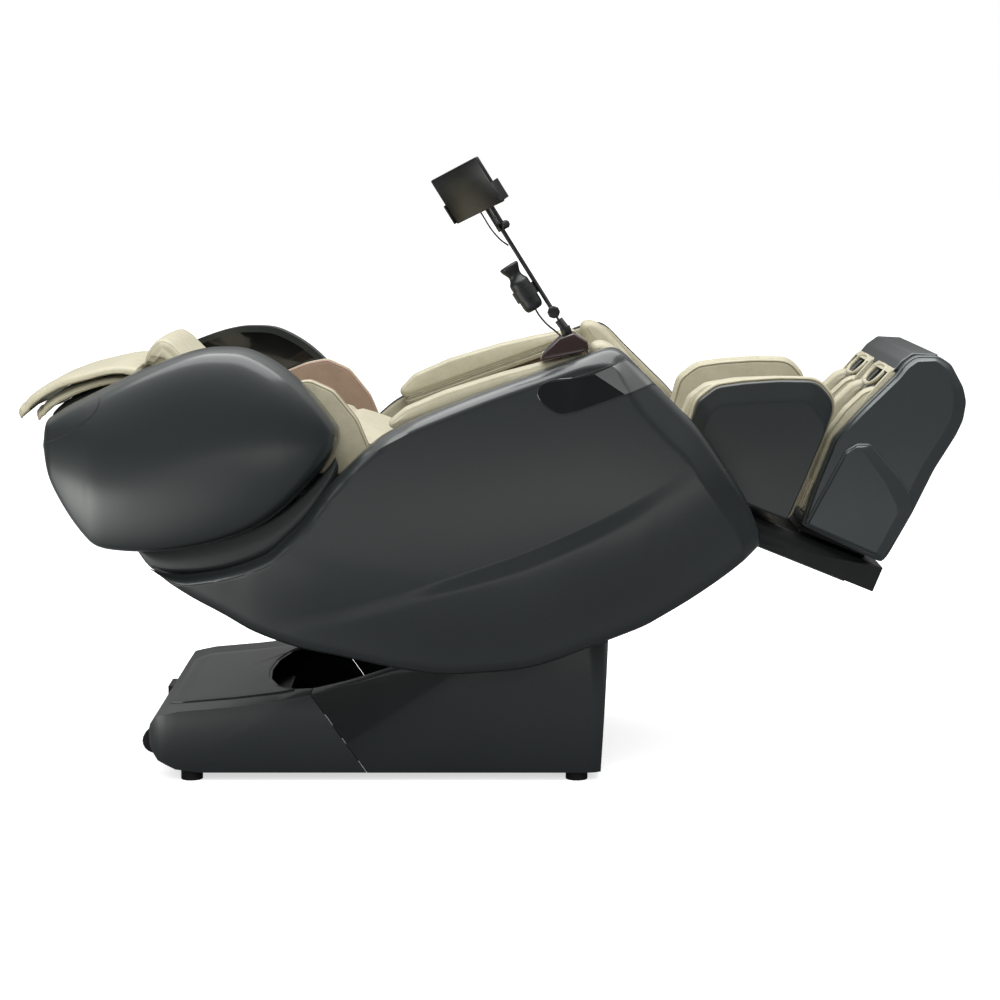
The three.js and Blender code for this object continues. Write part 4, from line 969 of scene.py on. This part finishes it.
# ---------------------------------------------------------------- seat and back cushions
# Foam blocks in sewn leather. The cover is drawn down into channels across the seat and down the back, and
# the sides pull in between the corners.
def sewn_block(name, place, x0, x1, half, z0, z1, channels, material, across=True, rows=110, columns=90):
    """A crowned block. Its plan is a superellipse, its top falls by 0.3 s^5 + 0.12 s^2 of the block's height
    at a share s of the way out, and each channel sinks the top by a bell curve 7 mm wide."""
    v = np.linspace(0, 2 * np.pi, columns * 2, endpoint=False)
    middle, reach = (x0 + x1) / 2, (x1 - x0) / 2
    power = 2 / 9
    plan_x = np.sign(np.cos(v)) * np.abs(np.cos(v)) ** power
    plan_y = np.sign(np.sin(v)) * np.abs(np.sin(v)) ** power
    shares = np.sin(np.linspace(0.02, np.pi / 2, rows // 2))
    x = middle + reach * plan_x[None] * shares[:, None]
    y = half * plan_y[None] * shares[:, None]
    top = z1 - (z1 - z0) * 0.3 * (shares**5)[:, None] - 0.12 * (z1 - z0) * np.abs(shares[:, None]) ** 2
    for channel in channels:
        top = top - 7 * np.exp(-(((x if across else y) - channel) / 7) ** 2) * (1 - shares[:, None] ** 8)
    drop = np.linspace(0, 1, 12)[1:]
    pull = 1 - 0.02 * np.sin(np.pi * drop)
    wall_x = middle + reach * plan_x[None] * pull[:, None]
    wall_y = half * plan_y[None] * pull[:, None]
    wall_z = top[-1][None] + (z0 - top[-1])[None] * drop[:, None]
    rings = np.concatenate([place(x, y, top), place(wall_x, wall_y, wall_z)])
    return loft(name, rings, material, sharp=70)


seat_pad = sewn_block("seat_cushion_cover", seat_point, 32, 438, 260, -70, 6, (130, 230, 330), IVORY)
cushion(seat_pad, "seat", "ivory_leather", 0.75, "seat_cushion")
back_pad = sewn_block(
    "back_cushion_cover", back_point, -688, -64, 230, 22, 100, (-560, -450, -340, -230, -130), IVORY
)
cushion(back_pad, "backrest", "ivory_leather", 0.7, "back_cushion")


# ---------------------------------------------------------------- head pillow and drape
# A removable pillow with a raised cap, buttoned to a leather drape that hangs over the top of the back in two
# quilted layers, bound with piping. Its underside is black cloth.
pillow_outline = [
    (-692, 100), (-690, 128), (-676, 158), (-660, 165), (-640, 160), (-600, 136), (-560, 116), (-545, 104),
    (-548, 97)
]
pillow = stuffed(
    "head_pillow_pad", back_point, pillow_outline, -164, 164, 22, 5, IVORY, [(-660, 126), (-580, 110)],
    softness=14,
)
cushion(pillow, "backrest", "ivory_leather", 0.8, "head_pillow")
for edge in (-1, 1):
    bead = piped(
        f"head_pillow_piping_{'right' if edge < 0 else 'left'}", back_point, pillow_outline, edge * 156, 8,
        2.4, IVORY_PIPING, softness=12
    )
    trim(bead, "backrest", "ivory_leather")

CLOTH, cloth_tree, cloth_shader = finish(
    "black_polyester_lining", Base_Color=linear("#121212"), Roughness=0.85
)
weave = pattern(cloth_tree, "ShaderNodeTexVoronoi", 1.2)
bumped(cloth_tree, cloth_shader, weave.outputs["Distance"], 0.4, 0.0003)


def draped(name, path, half, thickness, material, ripple=3.0, rows=70, columns=60, quilt=0.0):
    """A soft layer over a line in the back's x and z: it is thickness mm deep, rounded at its four edges, and
    its free end waves by ripple mm and turns down at the sides."""
    line = curve(path, rows)
    off = np.stack([np.gradient(line[:, 1]), -np.gradient(line[:, 0])], 1)
    off = unit(off) * np.sign(off[0, 1])
    y = half * np.sin(np.linspace(-np.pi / 2, np.pi / 2, columns))
    along, beside = np.linspace(0, 1, rows)[:, None], (y / half)[None, :]
    wave = ripple * along**2 * (np.sin(2.2 * np.pi * beside + 0.6) + 0.5 * np.sin(5.1 * beside + 9 * along))
    fall = -10 * np.abs(beside) ** 6 * (0.3 + 0.7 * along)
    sewn = -quilt * np.exp(
        -(((1 - np.abs(beside)) * half - 16) / 4) ** 2
    ) - quilt * np.exp(-(((1 - along) * 18 - 1.4) / 0.35) ** 2)
    body = thickness * (
        rounding((1 - np.abs(beside)) * half, 8) * rounding((1 - along) * 190, 8) * 0.97 + 0.03
    )
    under = wave + fall
    over = under + body + sewn
    upper = back_point(
        line[:, :1] + off[:, :1] * over, y[None, :] + 0 * over, line[:, 1:] + off[:, 1:] * over
    )
    lower = back_point(
        line[:, :1] + off[:, :1] * under, y[None, :] + 0 * under, line[:, 1:] + off[:, 1:] * under
    )
    return loft(name, np.concatenate([upper, lower[:, ::-1]], 1), material), upper


upper_path = [(-694, 82), (-740, 74), (-790, 50), (-845, 18), (-890, -26), (-916, -66)]
lower_path = [(-694, 62), (-745, 50), (-800, 20), (-850, -22), (-880, -60)]
drape, drape_top = draped("head_drape_upper", upper_path, 222, 13, IVORY, quilt=2.4)
cushion(drape, "backrest", "ivory_leather", 0.3, "head_drape")
under, under_top = draped("head_drape_lower", lower_path, 214, 11, IVORY, ripple=4.5, quilt=2.4)
cushion(under, "backrest", "ivory_leather", 0.3)
lining_path = [(-694, 54), (-742, 40), (-790, 10), (-832, -28), (-852, -58)]
lining, _ = draped("head_drape_lining", lining_path, 208, 5, CLOTH)
cushion(lining, "backrest", "black_plastic", 0.1)
for label, sheet_top in (("upper", drape_top), ("lower", under_top)):
    hem = np.concatenate([sheet_top[6:, 1], sheet_top[-2, 2:-2], sheet_top[:5:-1, -2]])
    bead = tube(
        f"head_drape_hem_{label}", evenly(hem, 260) - np.array([0, 0, 2 * MM]), 2.4 * MM, IVORY_PIPING,
        sides=8
    )
    trim(bead, "backrest", "ivory_leather")


# ---------------------------------------------------------------- calf unit
# Two painted cheeks with a raised facet, piped ivory pads inside them, and a padded divider between the
# calves.
def faceted(name, place, outline, facet, back, front, rise, material, softness=9, count=220, sharp=24):
    """A moulded cover: a wall from back to front, a 5 mm rounded edge, a bevel up to a facet outline that
    stands rise higher, and a flat facet. Points of the two outlines are paired by their share of the way
    round."""
    ring = soft_ring(outline, count, softness)
    inner = soft_ring(facet, count, 4)
    towards = inward(ring)
    start = np.argmin(np.linalg.norm(inner - ring[0], axis=1))
    inner = np.roll(inner, -start, 0)
    step = np.sign(front - back)
    turn = np.linspace(0, np.pi / 2, 6)
    round_flat = ring[None] + towards[None] * (5 * (1 - np.cos(turn)))[:, None, None]
    round_y = front - step * 5 * (1 - np.sin(turn))
    levels = [ring[None], round_flat]
    heights = [[back], round_y]
    for share in (0.25, 0.5, 0.75, 0.97, 1.0):
        levels.append((round_flat[-1] + (inner - round_flat[-1]) * share)[None])
        heights.append([front + step * rise * min(share, 0.97) / 0.97])
    middle = inner.mean(0)
    for share in (0.97, 0.7, 0.35, 0.02):
        levels.append((middle + (inner - middle) * share)[None])
        heights.append([front + step * (rise + 0.4 * (1 - share))])
    flat = np.concatenate(levels)
    y = np.concatenate([np.atleast_1d(h) for h in heights])[:, None] * np.ones(count)
    return loft(name, place(flat[..., 0], y, flat[..., 1]), material, sharp=sharp)


# Painted light: a lighter copy of the same slate paint, standing in for the light these covers catch. The
# foot shell and the base deck wear it.
SLATE_LIT_COPY = painted_shell("slate_metallic_paint_lit_copy", "#2b3132", "#4a5052")
calf_outline = [
    (-20, -30), (-31, 124), (-5, 168), (45, 197), (111, 229), (176, 254), (197, 252), (230, 234), (242, 212),
    (245, 161), (245, 60), (243, -40), (156, -40), (60, -40),
]
calf_facet = [
    (8, -32), (4, 60), (6, 112), (20, 134), (60, 152), (118, 180), (176, 206), (190, 206), (234, 176),
    (240, 160), (241, 60), (239, -34), (150, -35), (60, -35),
]


def grown(outline, centre, share):
    """An outline scaled about a centre."""
    return (np.asarray(centre) + (np.asarray(outline) - centre) * share).tolist()


pad_body = [(34, -38), (34, 34), (-24, 34)] + grown(calf_outline, (120, 60), 1.035)[1:-4] + [(250, -38)]
pad_spine = [(70, 110), (180, 130)]
for side_name, side in SIDES:
    cheek = faceted(
        "calf_cheek_" + side_name, leg_point, calf_outline, calf_facet, side * 273, side * 283, 6.5, SLATE,
        softness=16
    )
    trim(cheek, "legrest", "graphite_gloss", "calf_shell_" + side_name)
    for layer, near, far, share in (("outer", 245, 271, 1.0), ("inner", 219, 245, 0.975)):
        outline = grown(pad_body, (120, 60), share)
        pad = stuffed(
            f"calf_pad_{layer}_{side_name}", leg_point, outline, side * near, side * far, 9, 3, IVORY,
            pad_spine, softness=20
        )
        cushion(
            pad, "legrest", "ivory_leather", 0.8, *(["calf_pad_" + side_name] if layer == "outer" else [])
        )
        bead = piped(
            f"calf_piping_{layer}_{side_name}", leg_point, outline,
            side * (far - 2 if layer == "outer" else near + 2), 3.0, 2.4, IVORY_PIPING, softness=20,
        )
        trim(bead, "legrest", "ivory_leather")
divider_outline = [
    (-20, -12), (-24, 110), (0, 150), (60, 186), (150, 226), (200, 224), (236, 190), (243, -12)
]
divider = stuffed(
    "calf_divider", leg_point, divider_outline, -27, 27, 14, 3, IVORY, [(60, 90), (180, 110)], softness=16
)
cushion(divider, "legrest", "ivory_leather", 0.8, "calf_cushion")
for edge in (-1, 1):
    bead = piped(
        f"calf_divider_piping_{'right' if edge < 0 else 'left'}", leg_point, divider_outline, edge * 22, 6,
        2.2, IVORY_PIPING, softness=16
    )
    trim(bead, "legrest", "ivory_leather")
calf_floor = sewn_block("calf_floor_cushion", leg_point, -12, 241, 193, -40, -5, (70, 150), TAUPE)
cushion(calf_floor, "legrest", "taupe_leather", 0.6)


# ---------------------------------------------------------------- foot unit
# The shell is a band round the soles, a plate and a snap-on cover on each side, and a divider. Bars join them
# and leave a hole over each foot's toes, with an ivory rim. Piped pads and linings fill the two wells, and a
# black sleeve underneath slides on the leg frame's beam.
def moulded(name, place, outline, low, high, radius, material, softness=6, count=200, sharp=35):
    """A moulded slab: an outline in a section's x and z, low to high wide, with quarter-round edges and flat
    faces."""
    ring = soft_ring(outline, count, softness)
    turn = np.linspace(0, np.pi / 2, 6)
    edge = ring[None] + inward(ring)[None] * (radius * (1 - np.sin(turn)))[:, None, None]
    rise = radius * (1 - np.cos(turn))
    flat = np.concatenate([edge, edge[::-1]])
    y = np.concatenate([low + rise, high - rise[::-1]])[:, None] * np.ones(count)
    rows = len(flat)
    ends = [list(range(count)), list(range((rows - 1) * count, rows * count))]
    faces = lattice(rows, count) + ends
    return build(name, place(flat[..., 0], y, flat[..., 1]), faces, material, sharp)


def eased(node, name, material, width, segments=3, angle=32, sharp=50):
    """A moulded or machined copy of a plain solid: its flat faces are joined up, and edges sharper than angle
    are rounded to width mm."""
    source = frame["nodes"][node].data
    mesh = source.copy()
    mesh.name = name
    mesh.materials.clear()
    work = bmesh.new()
    work.from_mesh(mesh)
    bmesh.ops.remove_doubles(work, verts=work.verts, dist=2e-5)
    work.to_mesh(mesh)
    work.free()
    made = bpy.data.objects.new(name, mesh)
    bpy.context.scene.collection.objects.link(made)
    mesh.materials.append(material)
    bevel = made.modifiers.new("rounded_edges", "BEVEL")
    bevel.width = width * MM
    bevel.segments = segments
    bevel.limit_method = "ANGLE"
    bevel.angle_limit = np.radians(angle)
    bevel.use_clamp_overlap = True
    mesh.shade_smooth()
    mesh.set_sharp_from_angle(angle=np.radians(sharp))
    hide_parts(node)
    return made


foot_outline = [
    (277, -39), (271, 60), (269, 158), (300, 240), (338, 330), (346, 362), (360, 384), (406, 402), (438, 396),
    (482, 360), (500, 334), (509, 297), (508, 262), (494, 176), (488, 72), (476, -30), (469, -50), (440, -49),
]
foot_facet = [
    (284, -32), (279, 60), (278, 157), (309, 236), (348, 326), (356, 354), (368, 374), (404, 390), (428, 384),
    (460, 346), (474, 318), (480, 290), (478, 262), (464, 176), (458, 72), (452, -30), (448, -42), (438, -42),
]
band_outline = [
    (402, 402), (438, 396), (482, 360), (500, 334), (509, 297), (508, 262), (494, 176), (488, 72), (476, -30),
    (469, -50), (440, -49), (277, -39), (277, -15), (470, -15), (478, 100), (476, 200), (462, 280),
    (440, 340), (402, 371),
]
bridge_outline = [
    (316, 278), (338, 330), (346, 362), (360, 384), (408, 402), (410, 368), (366, 356), (350, 318), (330, 274)
]
toe_bar_outline = [(331, 334), (340, 362), (356, 387), (408, 405), (410, 368), (368, 352), (350, 334)]
instep_bar_outline = [(313, 270), (322, 292), (338, 290), (330, 262)]
# The foot shell's mouldings below wear the lighter copy of the slate paint, which is painted light.
foot_band = moulded("foot_shell_band", leg_point, band_outline, -242, 242, 1.5, SLATE_LIT_COPY, softness=5)
trim(foot_band, "foot_unit", "graphite_gloss", "foot_shell")
foot_divider = moulded("foot_shell_divider", leg_point, foot_outline, -29, 29, 10, SLATE_LIT_COPY, softness=10)
trim(foot_divider, "foot_unit", "graphite_gloss")
bridges = [("divider", -62, 62), ("right", -242, -188), ("left", 188, 242)]
for bridge_name, low, high in bridges:
    bridge = moulded(
        "foot_shell_bridge_" + bridge_name, leg_point, bridge_outline, low, high, 5, SLATE_LIT_COPY, softness=7
    )
    trim(bridge, "foot_unit", "graphite_gloss")
for bar_name, outline in (("toe", toe_bar_outline), ("instep", instep_bar_outline)):
    bar = moulded("foot_shell_bar_" + bar_name, leg_point, outline, -241, 241, 4, SLATE_LIT_COPY, softness=5)
    trim(bar, "foot_unit", "graphite_gloss")
side_pad_outline = [
    (264, -8), (258, 60), (256, 158), (270, 222), (292, 272), (312, 290), (330, 286), (330, 250), (318, 160),
    (314, 60), (314, -8),
]
for side_name, side in SIDES:
    plate = faceted(
        "foot_side_plate_" + side_name, leg_point, foot_outline, foot_facet, side * 240, side * 262, 8,
        SLATE_LIT_COPY, softness=12
    )
    trim(plate, "foot_unit", "graphite_gloss")
    for layer, near, far in (("outer", 196, 238), ("inner", 31, 66)):
        pad = stuffed(
            f"foot_pad_{layer}_{side_name}", leg_point, side_pad_outline, side * near, side * far, 12, 2,
            IVORY, [(286, 20), (289, 150), (308, 262)], softness=12,
        )
        cushion(pad, "foot_unit", "ivory_leather", 0.8)
        edge = side * (far - 3 if layer == "outer" else near + 3)
        bead = piped(
            f"foot_piping_{layer}_{side_name}", leg_point, side_pad_outline, edge, 5, 2.2, IVORY_PIPING,
            softness=12
        )
        trim(bead, "foot_unit", "ivory_leather")
side_outline = [(281, -34), (300, 144), (318, 168), (345, 178), (431, 134), (470, 107), (484, 74), (464, -40)]
side_facet = [(290, -28), (306, 138), (318, 158), (326, 162), (404, 112), (444, 78), (454, 60), (446, -33)]
for side_name, side in SIDES:
    cover = faceted(
        "foot_side_cover_" + side_name, leg_point, side_outline, side_facet, side * 262, side * 275, 4.5,
        SLATE_LIT_COPY, softness=8
    )
    trim(cover, "foot_unit", "graphite_gloss")
    well_lining = eased("foot_lining_" + side_name, "foot_well_lining_" + side_name, IVORY, 3, 3)
    trim(well_lining, "foot_unit", "ivory_leather")
sleeve = eased("foot_sleeve", "foot_sleeve_moulding", SATIN_BLACK, 3, 3)
trim(sleeve, "foot_unit", "black_plastic")
for side_name, side in SIDES:
    turn = np.linspace(0, 2 * np.pi, 80, endpoint=False)
    along, across = (np.sign(wave) * np.abs(wave) ** 0.7 for wave in (np.cos(turn), np.sin(turn)))
    line = leg_point(321 + 11 * along, side * (125 + 60 * across), 313 + 25 * along)
    rim = tube("toe_hole_rim_" + side_name, line, 5 * MM, IVORY, closed=True)
    trim(rim, "foot_unit", "ivory_leather")

# The gusset is pleated ivory mesh cloth that closes the gap between the calf and foot units.
GUSSET, gusset_tree, gusset_shader = finish("ivory_spacer_mesh", Base_Color=linear("#b3ab95"), Roughness=0.8)
holes = pattern(gusset_tree, "ShaderNodeTexVoronoi", 2.2)
two_tone(gusset_tree, gusset_shader, holes.outputs["Distance"], "#c7c0ab", "#857c68")
bumped(gusset_tree, gusset_shader, holes.outputs["Distance"], 0.6, 0.0006)
for side_name, side in SIDES:
    x = np.linspace(247, 268, 33)
    fold = side * (252 + 5 * np.sin(np.linspace(0, 8 * np.pi, 33)))
    z = np.linspace(-6, 58, 16)
    outer = leg_point(x[:, None], fold[:, None] + 0 * z[None], z[None] + 3 * np.sin(x)[:, None])
    inner = leg_point(x[:, None], (fold - side * 2)[:, None] + 0 * z[None], z[None] + 3 * np.sin(x)[:, None])
    gusset = loft("leg_gusset_" + side_name, np.concatenate([outer, inner[:, ::-1]], 1), GUSSET)
    leg_point(247, 0, 0).tolist()
    leg_point(268, 0, 0).tolist()
    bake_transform(gusset)


# ---------------------------------------------------------------- base
# Two ABS mouldings over a welded frame. The rear one has a low domed deck with an inlaid panel and a rim, and
# the seam between the two slants forward to the floor.
for node in ("base_rear_cover", "base_front_cover"):
    moulding = eased(node, node + "_moulding", SLATE, 9 if "rear" in node else 4, 5, angle=25, sharp=60)
    trim(moulding, "base", "graphite_gloss")
deck_profile = np.array([[-746, 112], [-730, 142], [-680, 152], [-567, 162], [-470, 174], [-400, 188]])
deck_half = [
    (-716, 236), (-690, 262), (-500, 266), (-436, 262), (-446, 252), (-486, 192), (-511, 100), (-518, 0),
]
deck_plan = soft_ring([(x, -y) for x, y in deck_half] + deck_half[-2::-1], 220, 16)
shares = np.concatenate([[1.0, 1.0, 0.985, 0.95], np.linspace(0.9, 0.02, 16)])
lift = np.concatenate([[-2.0, 1.5, 3.0, 2.0], 1.2 + 2.0 * (1 - np.linspace(0.9, 0.02, 16) ** 2)])
deck_middle = np.array([-600.0, 0.0])
spread = deck_middle + (deck_plan - deck_middle)[None] * shares[:, None, None]
deck_z = np.interp(spread[..., 0], *deck_profile.T) + lift[:, None]
# The deck panel wears the lighter copy of the slate paint, which is painted light.
deck = loft("base_deck_panel", chair_point(spread[..., 0], spread[..., 1], deck_z), SLATE_LIT_COPY, sharp=40)
trim(deck, "base", "graphite_gloss")


# ---------------------------------------------------------------- tablet arm
# A black anodised rod hinged on a smoked dock. Round covers hide both hinges, the tablet sits in a sprung
# clamp, and the handset stands in a ring on the rod.
SMOKED = glossy_black("smoked_brown_polycarbonate", "#2a1f1d")
dock = eased("arm_dock", "arm_dock_moulding", SMOKED, 6, 4)
trim(dock, "seat", "smoked_gloss")
for node, body, width in (
    ("arm_post", "arm_post", 1.0), ("arm_rod", "arm_rod", 0.6), ("tablet_holder", "tablet", 1.2),
):
    piece = eased(node, node + "_part", SATIN_BLACK, width, 2)
    trim(piece, body, "black_plastic")
GLASS, glass_tree, glass_shader = finish("anti_glare_glass", Base_Color=linear("#050606"))
haze = pattern(glass_tree, "ShaderNodeTexNoise", 40, Detail=2.0)
roughened(glass_tree, glass_shader, haze.outputs["Fac"], 0.26, 0.34)
glass = eased("tablet", "tablet_body", GLASS, 2.0, 3)
trim(glass, "tablet", "black_gloss")


def turned(name, foot, axis, first, profile, groove, sharp):
    """A turned black part. Its profile's radii, times groove, stand at the profile's heights along the axis
    from its foot."""
    angle = np.linspace(0, 2 * np.pi, groove.shape[-1], endpoint=False)
    spokes = np.cos(angle)[:, None] * first + np.sin(angle)[:, None] * np.cross(axis, first)
    points = foot + profile[:, 1, None, None] * axis + (profile[:, :1] * groove)[..., None] * spokes[None]
    return loft(name, chair_point(*np.moveaxis(points, -1, 0)), SATIN_BLACK, sharp=sharp)


# Each knob has a neck, a dished rim with eight flutes, and a domed face.
flute = 1 - 0.05 * (0.5 + 0.5 * np.cos(8 * np.linspace(0, 2 * np.pi, 64, endpoint=False)))
for knob_name, centre, axis, radius, body in (
    ("elbow_knob_near", ARM_ELBOW + (0, -13.5, 0), np.array([0, -1.0, 0]), 13, "arm_post"),
    ("elbow_knob_far", ARM_ELBOW + (0, 13.5, 0), np.array([0, 1.0, 0]), 11, "arm_post"),
    ("tablet_clamp_knob", ARM_HEAD + 17 * ACROSS, ACROSS, 9, "arm_rod"),
):
    knob_profile = [
        (2, -3), (5, -2), (5.5, 0), (0.8 * radius, 1.5), (radius, 4), (0.95 * radius, 7), (0.6 * radius, 8.6),
        (0.4, 9),
    ]
    first = unit(np.cross(axis, (0.31, 0.2, 0.93)))
    knob = turned(knob_name, centre, axis, first, curve(knob_profile, 40), flute[None, :], 40)
    trim(knob, body, "black_plastic")
handset_profile = [
    [2, 0], [12, 0], [17, 2], [20, 8], [21, 15], [21, 40], [21, 62], [20, 68], [16.5, 74], [14.8, 80],
    [15, 86], [17.5, 93], [20, 99], [20.8, 103], [19.5, 106], [12, 107], [2, 107],
]
profile = curve(handset_profile, 90)
angle = np.linspace(0, 2 * np.pi, 48, endpoint=False)
grip = 1 - 0.10 * np.exp(-(((profile[:, 1] - 80) / 9) ** 2))[:, None] * (0.5 + 0.5 * np.cos(angle))[None, :]
handset = turned("handset_body", HANDSET_FOOT, ROD_UP, ROD_SIDE, profile, grip, 50)
trim(handset, "handset", "black_plastic", "handset")


# ---------------------------------------------------------------- machinery and running gear
# What the covers hide: powder-coated steel frames, an aluminium leg frame, moulded housings and rubber tyres.
STEEL, steel_tree, steel_shader = finish("powder_coated_steel", Metallic=0.0, Roughness=0.5)
texture = pattern(steel_tree, "ShaderNodeTexNoise", 1.4, Detail=2.0)
two_tone(steel_tree, steel_shader, texture.outputs["Fac"], "#2b2d2f", "#3a3d3f")
bumped(steel_tree, steel_shader, texture.outputs["Fac"], 0.3, 0.0003)
ALLOY = brushed_metal("cast_aluminium", "#7d8083", 0.42, 2.0)
RUBBER = moulded_black("moulded_rubber", "#0e0e0e", 0.72)
finishes = {"frame_steel": STEEL, "frame_alloy": ALLOY, "black_rubber": RUBBER, "black_plastic": SATIN_BLACK}
finishes |= {
    "graphite_gloss": SLATE, "black_gloss": PIANO_BLACK, "smoked_gloss": SMOKED, "ivory_leather": IVORY,
    "taupe_leather": TAUPE
}
slot_of = {row["node"]: row["material_slot"] for row in frame["record"]["subparts"]}
for name, node in frame["nodes"].items():
    mesh = node.data
    for index in range(len(mesh.materials)):
        mesh.materials[index] = finishes[slot_of[name]]
